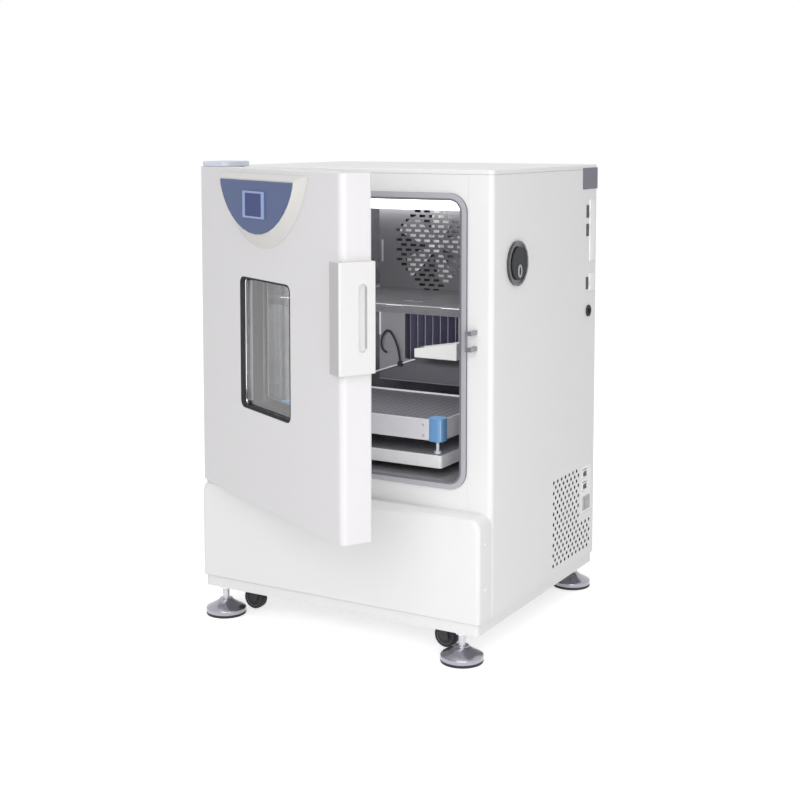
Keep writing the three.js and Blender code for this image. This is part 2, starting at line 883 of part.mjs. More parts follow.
function portSleeve() {
  const inner = chamberWidth / 2 + seam;
  const flangeLow = halfWidth + seam;
  const flangeHigh = flangeLow + portFlangeThickness;
  const tube = bar("x", [portSet, portHeight], portTubeRadius, inner, flangeHigh);
  const flange = bar("x", [portSet, portHeight], portFlangeRadius, flangeLow, flangeHigh);
  const groove = bar(
    "x",
    [portSet, portHeight],
    portFlangeRadius - portFlangeThickness,
    flangeHigh - portTubeWall / 2,
    flangeHigh + overrun,
  );
  const bore = bar(
    "x",
    [portSet, portHeight],
    portTubeRadius - portTubeWall,
    inner - overrun,
    flangeHigh + overrun,
  );
  return cut(tube.add(flange), groove, bore);
}

function portPlug() {
  const seat = halfWidth + portFlangeThickness + 2 * seam;
  const headTop = seat + plugHeadThickness;
  const centre = [portSet, portHeight];
  const rib = box(
    headTop - seam,
    headTop + plugGripHeight,
    portSet - plugGripWidth / 2,
    portSet + plugGripWidth / 2,
    portHeight - plugGripLength / 2,
    portHeight + plugGripLength / 2,
  );
  return join(
    bar("x", centre, plugRadius, seat - plugLength, headTop),
    bar("x", centre, plugHeadRadius, seat, headTop),
    rib,
  );
}
addPiece(incubator, "port_sleeve", portSleeve(), "blackPlastic");
addPiece(incubator, "port_plug", portPlug(), "blackRubber");

// Cable grommet pressed in the right panel
const grommetLip = 2.5;

function cableGrommet() {
  const centre = [grommetSet, footHeight + grommetRise];
  const inner = halfWidth - sheet - seam - grommetLip;
  const outer = halfWidth + seam + grommetLip;
  const low = inner - overrun;
  const high = outer + overrun;
  return cut(
    join(
      bar("x", centre, grommetRadius - sheet - seam, inner, outer, smallSides),
      bar("x", centre, grommetRadius, halfWidth + seam, outer, smallSides),
      bar("x", centre, grommetRadius, inner, halfWidth - sheet - seam, smallSides),
    ),
    bar("x", centre, grommetBore, low, high, smallSides),
  );
}
addPiece(incubator, "cable_grommet", cableGrommet(), "blackRubber");

// Switch plate with the mains inlet, and the two rocking switches in it
const rockerHeight = 17;
const rockerWidth = 24;
const rockerInset = 9;
const rockerTopDrops = { power: 8, breaker: 34 };
const rockerDepth = 11;
const rockerPivotDepth = 5;
const rockerCrown = 2.6;
const rockerRoom = 1.2;
const rockerShares = { waist: 0.8, heel: 0.45, heelDrop: 0.8 };
const switchPlateWall = 2.5;
const switchBodyDepth = 20;
const inletHeight = 28;
const inletWidth = 36;
const inletRise = 6;
const inletDepth = 14;
const inletPinWidth = 3;
const inletPinLength = 9;
const switchTop = footHeight + switchPlateRise + switchPlateHeight;
const rockerMiddle = switchPlateFront + rockerInset + rockerWidth / 2;
const rockerHeights = {
  power: switchTop - rockerTopDrops.power - rockerHeight / 2,
  breaker: switchTop - rockerTopDrops.breaker - rockerHeight / 2,
};
const rockerPivot = halfWidth - rockerPivotDepth;

function switchPlate() {
  const low = footHeight + switchPlateRise + seam;
  const high = switchTop - seam;
  const front = switchPlateFront + seam;
  const back = switchPlateFront + switchPlateWidth - seam;
  const body = join(
    box(halfWidth - sheet, halfWidth, front, back, low, high),
    box(halfWidth - switchBodyDepth, halfWidth - sheet - seam, front, back, low, high),
    box(
      halfWidth - sheet - switchPlateWall,
      halfWidth - sheet / 2,
      front + seam,
      back - seam,
      low + seam,
      high - seam,
    ),
  );
  const rooms = Object.values(rockerHeights).map((z) =>
    box(
      halfWidth - rockerDepth - rockerRoom - rockerCrown,
      halfWidth + overrun,
      rockerMiddle - rockerWidth / 2 - runningGap,
      rockerMiddle + rockerWidth / 2 + runningGap,
      z - rockerHeight / 2 - rockerRoom,
      z + rockerHeight / 2 + rockerRoom,
    ),
  );
  const inletLow = low + inletRise;
  const inletMiddle = (front + back) / 2;
  const inlet = box(
    halfWidth - inletDepth,
    halfWidth + overrun,
    inletMiddle - inletWidth / 2,
    inletMiddle + inletWidth / 2,
    inletLow,
    inletLow + inletHeight,
  );
  const pins = [-1, 0, 1].map((place) => {
    const y = inletMiddle + (place * inletWidth) / 4;
    const z = inletLow + inletHeight / 2 + (place === 0 ? inletHeight / 8 : -inletHeight / 8);
    const half = inletPinWidth / 2;
    return box(
      halfWidth - inletDepth - seam,
      halfWidth - inletDepth + inletPinLength,
      y - half,
      y + half,
      z - inletPinWidth,
      z + inletPinWidth,
    );
  });
  return join(cut(body, ...rooms, inlet), ...pins);
}

// A rocker about a lengthwise pivot: its face is a shallow V, its back is round
function rocker() {
  const half = rockerHeight / 2;
  const face = rockerPivotDepth + rockerCrown;
  const back = rockerPivotDepth - rockerDepth;
  const profile = polygon([
    [-half, rockerPivotDepth + rockerCrown / 2],
    [-half * rockerShares.waist, 0],
    [-half * rockerShares.heel, back * rockerShares.heelDrop],
    [half * rockerShares.heel, back * rockerShares.heelDrop],
    [half * rockerShares.waist, 0],
    [half, rockerPivotDepth + rockerCrown / 2],
    [0, face - rockerCrown],
  ]);
  const form = prism(profile, "y", -rockerWidth / 2, rockerWidth / 2);
  return form.rotate([0, 90, 0]);
}
addPiece(incubator, "switch_plate", switchPlate(), "whitePlastic");
for (const [name, z] of Object.entries(rockerHeights)) {
  const piece = addPiece(incubator, name + "_switch", rocker(), "blackPlastic");
  piece.position.set(rockerPivot, rockerMiddle, z);
}

// Strike: a C, open to the right, on two posts from the front frame; the latch nib hooks it
const strikeGap = 2;
const strikeSet = 3;
const strikeLeft = doorRight + strikeGap;
const strikeLow = doorBottom + handleRise + strikeSet;

function doorStrike() {
  const right = strikeLeft + strikeWidth;
  const high = strikeLow + strikeHeight;
  const front = -strikeProud;
  const plateBack = front + strikePlate;
  const gap = box(
    strikeLeft + strikeSpine,
    right + overrun,
    front - overrun,
    overrun,
    strikeLow + strikeArm,
    high - strikeArm,
  );
  const plate = box(strikeLeft, right, front, plateBack, strikeLow, high).subtract(gap);
  const postLeft = right - strikeArm;
  const posts = [strikeLow, high - strikeArm].map((z) =>
    box(postLeft, right, plateBack - seam, -seam, z, z + strikeArm),
  );
  return join(plate, ...posts);
}
addPiece(incubator, "door_strike", doorStrike(), "greyPlastic");

// Top hinge: a screwed plate with its pin, under a low moulded cover
const topHingeHeight = 10;
const topHingeWidth = 62;
const topHingeBack = 26;
const topHingeForward = 58;
const topHingeCorner = 14;
const topHingeInset = 10;
const topHingeLift = 0.6;
const topHingeEdge = 2.4;

function topHinge() {
  const left = doorLeft + topHingeInset;
  const low = cabinetTop + topHingeLift;
  const plate = new THREE.ExtrudeGeometry(
    roundedRectangle(left, left + topHingeWidth, -topHingeForward, topHingeBack, topHingeCorner),
    {
      depth: topHingeHeight - topHingeLift - topHingeEdge,
      bevelEnabled: true,
      bevelThickness: topHingeEdge,
      bevelSize: topHingeEdge,
      bevelOffset: -topHingeEdge,
      bevelSegments: edgeSteps,
      curveSegments: arcSteps,
    },
  );
  plate.translate(0, 0, cabinetTop + topHingeLift);
  const under = box(-cabinetWidth, cabinetWidth, -cabinetWidth, cabinetWidth, 0, low);
  const seat = box(
    left + topHingeCorner,
    left + topHingeWidth - topHingeCorner,
    cabinetCorner,
    topHingeBack - topHingeCorner / 2,
    cabinetTop + seam,
    low + seam,
  );
  const pin = bar("z", [hingeX, hingeY], hingePinRadius, low - hingePinLength, low + seam, smallSides);
  return join(solid(plate).subtract(under), seat, pin);
}
addPiece(incubator, "top_hinge", topHinge(), "frameBlue");

// Bearing plate of the drive: three bearing towers through the chamber floor, on four legs
const plateMargin = 44;
const legWidth = 20;
const plateHalfX = crankPlaces.right[0] + plateMargin;
const plateFront = crankPlaces.main[1] - orbitRadius - plateMargin;
const plateBack = crankPlaces.left[1] - orbitRadius + plateMargin;

function driveBase() {
  const plateLow = bearingPlateTop - bearingPlateThickness;
  let base = box(-plateHalfX, plateHalfX, plateFront, plateBack, plateLow, bearingPlateTop);
  for (const side of [-1, 1]) {
    for (const y of [plateFront + legWidth / 2, plateBack - legWidth / 2]) {
      const x = side * (plateHalfX - legWidth / 2);
      const half = legWidth / 2;
      base = base.add(box(x - half, x + half, y - half, y + half, panelBottom, plateLow + seam));
    }
  }
  for (const centre of Object.values(crankAxes)) {
    base = base.add(bar("z", centre, towerRadius, bearingPlateTop - seam, towerTop));
  }
  for (const centre of Object.values(crankAxes)) {
    base = base.subtract(
      runningBore("z", centre, shaftRadius, plateLow - overrun, towerTop + overrun),
    );
  }
  return base;
}
addPiece(incubator, "drive_base", driveBase(), "castIron");

// A crank about its own axis: shaft, web and eccentric pin, with its balance on the far side
const collarWidth = 5;
const idlerCollarHeight = 6;
const balanceShares = { reach: 0.86, front: 0.53 };

function crankForm(shaftBottom) {
  const web = join(
    bar("z", [0, 0], webRadius, webBottom, webTop),
    bar("z", [0, orbitRadius], eccentricPinRadius, webBottom, webTop + eccentricPinLength, smallSides),
  );
  return web.add(bar("z", [0, 0], shaftRadius, shaftBottom, webTop, smallSides));
}

function mainCrank() {
  const bottom = pulleyTop - pulleyHeight;
  const pulley = turned([
    [0, bottom],
    [mainPulleyRadius + pulleyRim, bottom],
    [mainPulleyRadius + pulleyRim, bottom + pulleyRim],
    [mainPulleyRadius, bottom + pulleyRim],
    [mainPulleyRadius, pulleyTop - pulleyRim],
    [mainPulleyRadius + pulleyRim, pulleyTop - pulleyRim],
    [mainPulleyRadius + pulleyRim, pulleyTop],
    [0, pulleyTop],
  ]);
  const reach = mainPulleyRadius * balanceShares.reach;
  const sector = bar("z", [0, 0], reach, pulleyTop - seam, pulleyTop + idlerCollarHeight);
  const front = box(
    -cabinetWidth,
    cabinetWidth,
    -mainPulleyRadius * balanceShares.front,
    cabinetWidth,
    0,
    cabinetHeight,
  );
  return join(crankForm(bottom), pulley, sector.subtract(front));
}

function idlerCrank() {
  const plateLow = bearingPlateTop - bearingPlateThickness;
  const high = plateLow - seam;
  const low = high - idlerCollarHeight;
  return crankForm(low).add(bar("z", [0, 0], shaftRadius + collarWidth, low, high, smallSides));
}
addPiece(incubator, "main_crank", mainCrank(), "castIron").position.set(...crankAxes.main, 0);
addPiece(incubator, "idler_crank_left", idlerCrank(), "zinc").position.set(...crankAxes.left, 0);
addPiece(incubator, "idler_crank_right", idlerCrank(), "zinc").position.set(...crankAxes.right, 0);

// Drive motor on the deck, its pulley, and the belt to the main crank
const motorSideSet = 2;
const motorFrontSet = 35;
const motorPlace = [-crankReach - motorSideSet, crankRear - motorFrontSet];
const motorRadius = 40;
const motorFoot = 92;
const motorFootThickness = 8;
const motorShaftRadius = 6;
const motorBossRadius = 16;
const motorBossHeight = 10;
const beltThickness = 2.4;
const beltHeight = 11;
const beltSteps = 9;
const beltGap = 0.8;
const motorTop = pulleyTop - pulleyHeight - motorBossHeight - 2 * seam;

function driveMotor() {
  const half = motorFoot / 2;
  const shaftTop = pulleyTop - pulleyRim;
  return join(
    box(-half, half, -half, half, panelBottom, panelBottom + motorFootThickness),
    bar("z", [0, 0], motorRadius, panelBottom, motorTop),
    bar("z", [0, 0], motorBossRadius, motorTop - seam, motorTop + motorBossHeight, smallSides),
    bar("z", [0, 0], motorShaftRadius, motorTop, shaftTop, smallSides),
  );
}

function motorPulley() {
  const bottom = pulleyTop - pulleyHeight;
  const bore = (motorShaftRadius + runningGap) / Math.cos(Math.PI / roundSides);
  return turned([
    [bore, bottom],
    [motorPulleyRadius + pulleyRim, bottom],
    [motorPulleyRadius + pulleyRim, bottom + pulleyRim],
    [motorPulleyRadius, bottom + pulleyRim],
    [motorPulleyRadius, pulleyTop - pulleyRim],
    [motorPulleyRadius + pulleyRim, pulleyTop - pulleyRim],
    [motorPulleyRadius + pulleyRim, pulleyTop],
    [bore, pulleyTop],
    [bore, bottom],
  ]);
}

// Outline round two pulleys with a common outside tangent on each side
function beltOutline(first, firstRadius, second, secondRadius) {
  const across = new THREE.Vector2(second[0] - first[0], second[1] - first[1]);
  const heading = Math.atan2(across.y, across.x);
  const spread = Math.acos((firstRadius - secondRadius) / across.length());
  const shape = new THREE.Shape();
  shape.absarc(...first, firstRadius, heading + spread, heading - spread + 2 * Math.PI);
  shape.absarc(...second, secondRadius, heading - spread, heading + spread);
  return shape;
}

function driveBelt() {
  const low = pulleyTop - pulleyHeight / 2 - beltHeight / 2;
  const loop = (offset, bottom, top) =>
    prism(
      beltOutline(
        crankAxes.main,
        mainPulleyRadius + offset,
        motorPlace,
        motorPulleyRadius + offset,
      ),
      "z",
      bottom,
      top,
      beltSteps,
    );
  return loop(beltGap + beltThickness, low, low + beltHeight).subtract(
    loop(beltGap, low - overrun, low + beltHeight + overrun),
  );
}
addPiece(incubator, "drive_motor", driveMotor(), "darkPaint").position.set(...motorPlace, 0);
addPiece(incubator, "motor_pulley", motorPulley(), "aluminium").position.set(...motorPlace, 0);
addPiece(incubator, "drive_belt", driveBelt(), "blackRubber");

// Carriage plate on the three eccentric pins
const carriageHeight = 24;
const carriageCorner = 6;
const carriageLift = 10;
const pinClearance = 0.3;
const carriageBottom = chamberFloor + carriageLift;
const carriageTop = carriageBottom + carriageHeight;

function carriagePlate() {
  const outline = roundedRectangle(
    -carriageHalfWidth,
    carriageHalfWidth,
    carriageFront,
    carriageFront + carriageDepth,
    carriageCorner,
  );
  const pins = Object.values(crankPlaces).map((centre) =>
    runningBore(
      "z",
      centre,
      eccentricPinRadius,
      carriageBottom - overrun,
      webTop + eccentricPinLength + seam,
      smallSides,
      pinClearance,
    ),
  );
  return cut(prism(outline, "z", carriageBottom, carriageTop), ...pins);
}
addPiece(incubator, "carriage_plate", carriagePlate(), "whitePlastic");

// Tray frame: four rails between rounded corner posts, held off the carriage by threaded rods
const trayRise = 320.5;
const trayInset = 2;
const postWidth = 29;
const postHeight = 43;
const postCorner = 10;
const railHeight = 39;
const railThickness = 3;
const rodRadius = 3.2;
const rodNutRadius = 7;
const rodNutHeight = 5;
const trayBottom = footHeight + trayRise;
const trayHalf = carriageHalfWidth - trayInset;
const trayFront = carriageFront + trayInset;
const trayRear = carriageFront + carriageDepth - trayInset;

function postPlaces() {
  const reach = postWidth / 2;
  const x = carriageHalfWidth - reach;
  return [
    [-x, carriageFront + reach],
    [x, carriageFront + reach],
    [x, carriageFront + carriageDepth - reach],
    [-x, carriageFront + carriageDepth - reach],
  ];
}

function trayFrame() {
  const railLow = trayBottom + (postHeight - railHeight) / 2;
  const rails = box(-trayHalf, trayHalf, trayFront, trayRear, railLow, railLow + railHeight).subtract(
    box(
      railThickness - trayHalf,
      trayHalf - railThickness,
      trayFront + railThickness,
      trayRear - railThickness,
      0,
      cabinetHeight,
    ),
  );
  let frame = rails;
  for (const [x, y] of postPlaces()) {
    const half = postWidth / 2;
    const outline = roundedRectangle(x - half, x + half, y - half, y + half, postCorner);
    frame = join(
      frame,
      prism(outline, "z", trayBottom, trayBottom + postHeight),
      bar("z", [x, y], rodRadius, carriageTop + seam, trayBottom + seam, hexSides),
      bar("z", [x, y], rodNutRadius, carriageTop + seam, carriageTop + seam + rodNutHeight, hexSides),
    );
  }
  return frame;
}
addPiece(incubator, "tray_frame", trayFrame(), "aluminium");

// Tray deck: a perforated sheet between the rails, notched round the posts
const deckDrop = 3;
const deckThick = 2;
const deckColumns = 8;
const deckRows = 5;
const deckHole = 23;
const deckGap = 0.5;

function trayDeck() {
  const top = trayBottom + (postHeight + railHeight) / 2 - deckDrop;
  const half = trayHalf - railThickness - deckGap;
  const front = trayFront + railThickness + deckGap;
  const back = trayRear - railThickness - deckGap;
  let deck = box(-half, half, front, back, top - deckThick, top);
  for (const [x, y] of postPlaces()) {
    const reach = postWidth / 2 + deckGap;
    deck = deck.subtract(box(x - reach, x + reach, y - reach, y + reach, 0, cabinetHeight));
  }
  const holes = [];
  const across = (2 * (half - postWidth)) / deckColumns;
  const along = (back - front) / deckRows;
  for (let column = 0; column < deckColumns; column++) {
    for (let row = 0; row < deckRows; row++) {
      const x = (column - (deckColumns - 1) / 2) * across;
      const y = front + along * (row + 1 / 2);
      const reach = deckHole / 2;
      holes.push(box(x - reach, x + reach, y - reach, y + reach, 0, cabinetHeight));
    }
  }
  return deck.subtract(wasm.Manifold.union(holes));
}
addPiece(incubator, "tray_deck", trayDeck(), "deckGrey");

// Air duct on the back wall: a folded steel cover whose front is punched over the fan
const ductWidth = 250;
const ductDepth = 75;
const ductRise = 370;
const ductWall = 1.5;
const guardRadius = 94;
const slotLength = 14;
const slotHeight = 5.5;
const slotPitchAcross = 22;
const slotPitchUp = 10.2;
const returnWidth = 126;
const returnRise = 418;
const returnHeight = 100;
const ductFront = chamberDepth - ductDepth;
const ductBottom = footHeight + ductRise;
const ductTop = chamberCeiling - seam;

function guardSlots() {
  const slots = [];
  const rows = Math.floor(guardRadius / slotPitchUp);
  const columns = Math.ceil(guardRadius / slotPitchAcross);
  for (let row = -rows; row <= rows; row++) {
    const shift = row % 2 === 0 ? 0 : slotPitchAcross / 2;
    for (let column = -columns; column <= columns; column++) {
      const x = column * slotPitchAcross + shift;
      const z = row * slotPitchUp;
      if (Math.hypot(Math.abs(x) + slotLength / 2, z) > guardRadius) continue;
      const low = fanHeight + z - slotHeight / 2;
      slots.push(
        box(
          x - slotLength / 2,
          x + slotLength / 2,
          ductFront - overrun,
          ductFront + overrun,
          low,
          low + slotHeight,
        ),
      );
    }
  }
  return wasm.Manifold.union(slots);
}

function ductCover() {
  const half = ductWidth / 2;
  const outer = box(-half, half, ductFront, chamberDepth - seam, ductBottom, ductTop);
  const inside = box(
    ductWall - half,
    half - ductWall,
    ductFront + ductWall,
    chamberDepth + overrun,
    ductBottom + ductWall,
    ductTop - ductWall,
  );
  const low = footHeight + returnRise;
  const opening = box(
    -returnWidth / 2,
    returnWidth / 2,
    ductFront - overrun,
    ductFront + overrun,
    low,
    low + returnHeight,
  );
  return cut(outer, inside, opening, guardSlots());
}
addPiece(incubator, "duct_cover", ductCover(), "stainless");

// Circulation fan: five twisted blades on a hub, and its motor behind the chamber
const fanRadius = 88;
const fanHubRadius = 17;
const fanHubLength = 18;
const fanSetback = 8;
const fanBlades = 5;
const fanTurnDegrees = 70;
const fanBladeWidth = 46;
const fanBladeRoot = 20;
const fanBladeThickness = 1.6;
const fanBladePitch = 26;
const fanBladeShares = { tip: 0.93, rear: 0.86, rearWidth: 0.42 };
const fanBladeSteps = 3;
const fanMotorCapShare = 0.8;
const fanShaftOverhang = 20;
const fanFront = ductFront + fanSetback;
const motorFront = liner.back + seam;

function fanBlade() {
  const root = fanHubRadius - fanBladeThickness;
  const blade = new THREE.Shape();
  blade.moveTo(root, -fanBladeRoot / 2);
  const tip = fanRadius * fanBladeShares.tip;
  const trailing = fanBladeWidth * fanBladeShares.rearWidth;
  blade.quadraticCurveTo(fanRadius / 2, -fanBladeWidth / 2, tip, -fanBladeWidth / 2);
  blade.quadraticCurveTo(fanRadius, 0, fanRadius * fanBladeShares.rear, fanBladeWidth / 2);
  blade.quadraticCurveTo(fanRadius / 2, trailing, root, fanBladeRoot / 2);
  const half = fanBladeThickness / 2;
  return prism(blade, "z", -half, half, fanBladeSteps).rotate([fanBladePitch, 0, 0]);
}

// Drawn with its shaft along Z, then turned so that the shaft runs to the rear
function circulationFan() {
  const shaftEnd = motorFront - fanFront + fanMotorBossLength + fanShaftOverhang;
  let fan = join(
    bar("z", [0, 0], fanHubRadius, 0, fanHubLength, smallSides),
    bar("z", [0, 0], fanShaftRadius, 0, shaftEnd, boltSides),
  );
  for (let blade = 0; blade < fanBlades; blade++) {
    const turn = (360 * blade) / fanBlades + fanTurnDegrees;
    fan = fan.add(fanBlade().translate([0, 0, fanHubLength / 2]).rotate([0, 0, turn]));
  }
  return fan.rotate([-90, 0, 0]);
}

function fanMotor() {
  const back = motorFront + fanMotorLength;
  const body = bar("y", [0, 0], fanMotorRadius, motorFront, back);
  const capRadius = fanMotorRadius * fanMotorCapShare;
  const cap = bar("y", [0, 0], capRadius, back - seam, back + fanMotorBoss / 2, smallSides);
  const bore = runningBore(
    "y",
    [0, 0],
    fanShaftRadius,
    motorFront - overrun,
    motorFront + fanMotorBossLength + fanShaftOverhang + seam,
    boltSides,
  );
  return body.add(cap).subtract(bore);
}
addPiece(incubator, "circulation_fan", circulationFan(), "aluminium").position.set(0, fanFront, fanHeight);
addPiece(incubator, "fan_motor", fanMotor(), "darkPaint").position.set(0, 0, fanHeight);

// Evaporator behind the return opening: a finned block on the back wall
const coilWidth = 200;
const coilDrop = 28;
const coilDepth = 52;
const coilRise = 392;
const finCount = 12;
const finThickness = 2;
const coilSpine = 12;

function evaporator() {
  const low = footHeight + coilRise;
  const high = fanHeight - fanRadius - coilDrop;
  const back = chamberDepth - seam;
  const half = coilWidth / 2;
  let coil = box(-half, half, back - coilSpine, back, low, high);
  const pitch = (coilWidth - finThickness) / (finCount - 1);
  for (let fin = 0; fin < finCount; fin++) {
    const x = -half + fin * pitch;
    coil = coil.add(box(x, x + finThickness, back - coilDepth, back - seam, low, high));
  }
  return coil;
}
addPiece(incubator, "evaporator", evaporator(), "aluminium");

// Drip tray under the return opening, hung on the duct cover and deeper at the right
const dripLeft = -17;
const dripRight = 81;
const dripDepth = 42;
const dripRise = 430;
const dripShallow = 18;
const dripDeep = 35;
const dripWall = 2;

function dripTray() {
  const low = footHeight + dripRise;
  const front = ductFront - seam - dripDepth;
  const side = polygon([
    [dripLeft, low],
    [dripRight, low],
    [dripRight, low + dripDeep],
    [dripLeft, low + dripShallow],
  ]);
  const inside = box(
    dripLeft + dripWall,
    dripRight - dripWall,
    front + dripWall,
    ductFront - seam - dripWall,
    low + dripWall,
    low + 2 * dripDeep,
  );
  return prism(side, "y", front, ductFront - seam).subtract(inside);
}
addPiece(incubator, "drip_tray", dripTray(), "whitePlastic");

// Lamp across the back of the ceiling: a diffuser with a rounded lower front
const lampSideGap = 27;
const lampDepth = 30;
const lampRound = 9;
const lampGap = 2;
const lampSet = ductFront - lampDepth - lampGap;
const lampDrop = 37;

function chamberLamp() {
  const low = chamberCeiling - lampDrop;
  const half = chamberWidth / 2 - lampSideGap;
  const section = roundedRectangle(lampSet, lampSet + lampDepth, low, chamberCeiling - seam, [
    lampRound,
    lampRound,
    0,
    0,
  ]);
  return prism(section, "x", -half, half);
}
addPiece(incubator, "chamber_lamp", chamberLamp(), "lampWhite");

// Shelf on the four studs: a folded tray with a front lip and breathing slots
const shelfFront = 40;
const shelfSideGap = 3;
const shelfSlotLength = 40;
const shelfSlotWidth = 6;
const shelfSlotColumns = 4;
const shelfSlotRows = 4;

function shelf() {
  const half = chamberWidth / 2 - shelfSideGap;
  const back = ductFront - shelfSideGap;
  const low = shelfTop - shelfThickness - shelfLip;
  const block = box(-half, half, shelfFront, back, low, shelfTop);
  const inside = box(
    shelfThickness - half,
    half - shelfThickness,
    shelfFront + shelfThickness,
    back - shelfThickness,
    low - overrun,
    shelfTop - shelfThickness,
  );
  const slots = [];
  for (let column = 0; column < shelfSlotColumns; column++) {
    for (let row = 0; row < shelfSlotRows; row++) {
      const x = (column - (shelfSlotColumns - 1) / 2) * ((2 * half) / shelfSlotColumns);
      const y = shelfFront + ((back - shelfFront) * (row + 1 / 2)) / shelfSlotRows;
      slots.push(
        box(
          x - shelfSlotLength / 2,
          x + shelfSlotLength / 2,
          y - shelfSlotWidth / 2,
          y + shelfSlotWidth / 2,
          0,
          cabinetTop,
        ),
      );
    }
  }
  return cut(block, inside, wasm.Manifold.union(slots));
}
addPiece(incubator, "shelf", shelf(), "stainless");

// Temperature sensor: a lead that rises from its gland, arches and ends in a hooked probe
const leadRadius = 2.3;
const glandRadius = 6;
const glandLength = 7;
const leadSides = 6;
const leadSteps = 24;
const leadStandOff = 6.5;
const glandSet = -72;
const glandRise = 407;
const leadSet = ductFront - leadStandOff;
const leadRoute = [
  [0, 8],
  [-4, 30],
  [-14, 54],
  [-28, 69],
  [-40, 60],
  [-45, 38],
  [-40, 26],
  [-32, 22],
];

function temperatureSensor() {
  const [glandX, glandZ] = [glandSet, footHeight + glandRise];
  const points = leadRoute.map(([x, z]) => new THREE.Vector3(glandX + x, leadSet, glandZ + z));
  const start = [
    new THREE.Vector3(glandX, ductFront - glandLength / 2, glandZ),
    new THREE.Vector3(glandX, leadSet, glandZ + leadRadius),
  ];
  const route = new THREE.CatmullRomCurve3([...start, ...points], false, "centripetal");
  const section = new THREE.Shape();
  for (let side = 0; side < leadSides; side++) {
    const angle = (2 * Math.PI * side) / leadSides;
    const point = [leadRadius * Math.cos(angle), leadRadius * Math.sin(angle)];
    if (side === 0) section.moveTo(...point);
    else section.lineTo(...point);
  }
  const lead = new THREE.ExtrudeGeometry(section, { steps: leadSteps, extrudePath: route });
  const gland = bar(
    "y",
    [glandX, glandZ],
    glandRadius,
    ductFront - seam - glandLength,
    ductFront - seam,
    smallSides,
  );
  return solid(lead).add(gland);
}
addPiece(incubator, "temperature_sensor", temperatureSensor(), "blackRubber");

// Refrigeration in the machine room: compressor on its feet, condenser behind the vent
const compressorSideSet = 120;
const compressorRearSet = 102;
const compressorPlace = [halfWidth - compressorSideSet, cabinetDepth - compressorRearSet];
const compressorRadius = 58;
const compressorHeight = 150;
const compressorShoulder = 30;
const compressorFootHalf = 62;
const compressorFootThickness = 6;
const compressorShares = { shoulder: 0.88, crown: 0.5 };
const condenserRearSet = 202;
const condenserFront = cabinetDepth - condenserRearSet;
const condenserLength = 112;
const condenserHeight = 150;
const condenserDepth = 34;
const condenserGap = 12;
const condenserFins = 7;
const condenserFinThickness = 3;
const condenserCore = 14;

function compressor() {
  const top = panelBottom + compressorHeight;
  const half = compressorFootHalf;
  const shell = turned([
    [0, panelBottom],
    [compressorRadius, panelBottom],
    [compressorRadius, top - compressorShoulder],
    [compressorRadius * compressorShares.shoulder, top - compressorShoulder / 3],
    [compressorRadius * compressorShares.crown, top],
    [0, top],
  ]);
  return shell.add(
    box(-half, half, -half / 2, half / 2, panelBottom, panelBottom + compressorFootThickness),
  );
}

function condenser() {
  const right = halfWidth - sheet - condenserGap;
  const left = right - condenserDepth;
  const low = panelBottom + sheet + seam;
  const high = low + condenserHeight;
  const middle = (left + right) / 2;
  const core = box(
    middle - condenserCore / 2,
    middle + condenserCore / 2,
    condenserFront,
    condenserFront + condenserLength,
    low,
    high,
  );
  const pitch = (condenserHeight - condenserFinThickness) / (condenserFins - 1);
  let block = core;
  for (let fin = 0; fin < condenserFins; fin++) {
    const z = low + fin * pitch;
    block = block.add(
      box(left, right, condenserFront, condenserFront + condenserLength, z, z + condenserFinThickness),
    );
  }
  return block;
}
const compressorPiece = addPiece(incubator, "compressor", compressor(), "darkPaint");
compressorPiece.position.set(compressorPlace[0], compressorPlace[1], 0);
addPiece(incubator, "condenser", condenser(), "aluminium");

// Door: everything here is drawn closed, then the group turns open about the hinge pins
const door = new THREE.Group();
door.position.set(hingeX, hingeY, 0);
door.rotation.z = -THREE.MathUtils.degToRad(doorOpenDegrees);
incubator.add(door);

function addDoorPiece(name, form, look) {
  return addPiece(door, name, form.translate([-hingeX, -hingeY, 0]), look);
}

const doorSkin = 2;
const doorBackCorner = 5;
const doorHingeCorner = 16;
const bushWall = 4;
const windowLow = doorBottom + windowRise;
const windowHeight = cabinetTop - windowDrop - windowLow;
const windowLeft = doorMiddle + windowSet - windowWidth / 2;
const innerPanelFront = doorBack - doorSkin;

function windowOutline(inset) {
  return roundedRectangle(
    windowLeft + inset,
    windowLeft + windowWidth - inset,
    windowLow + inset,
    windowLow + windowHeight - inset,
    Math.max(windowCorner - inset, windowFrameWall),
  );
}

function doorPlan(inset) {
  const corners = [doorHingeRound, doorCorner, doorBackCorner, doorHingeCorner];
  return roundedRectangle(
    doorLeft + inset,
    doorRight - inset,
    doorFront + inset,
    doorBack - inset,
    corners.map((corner) => corner - inset),
  );
}

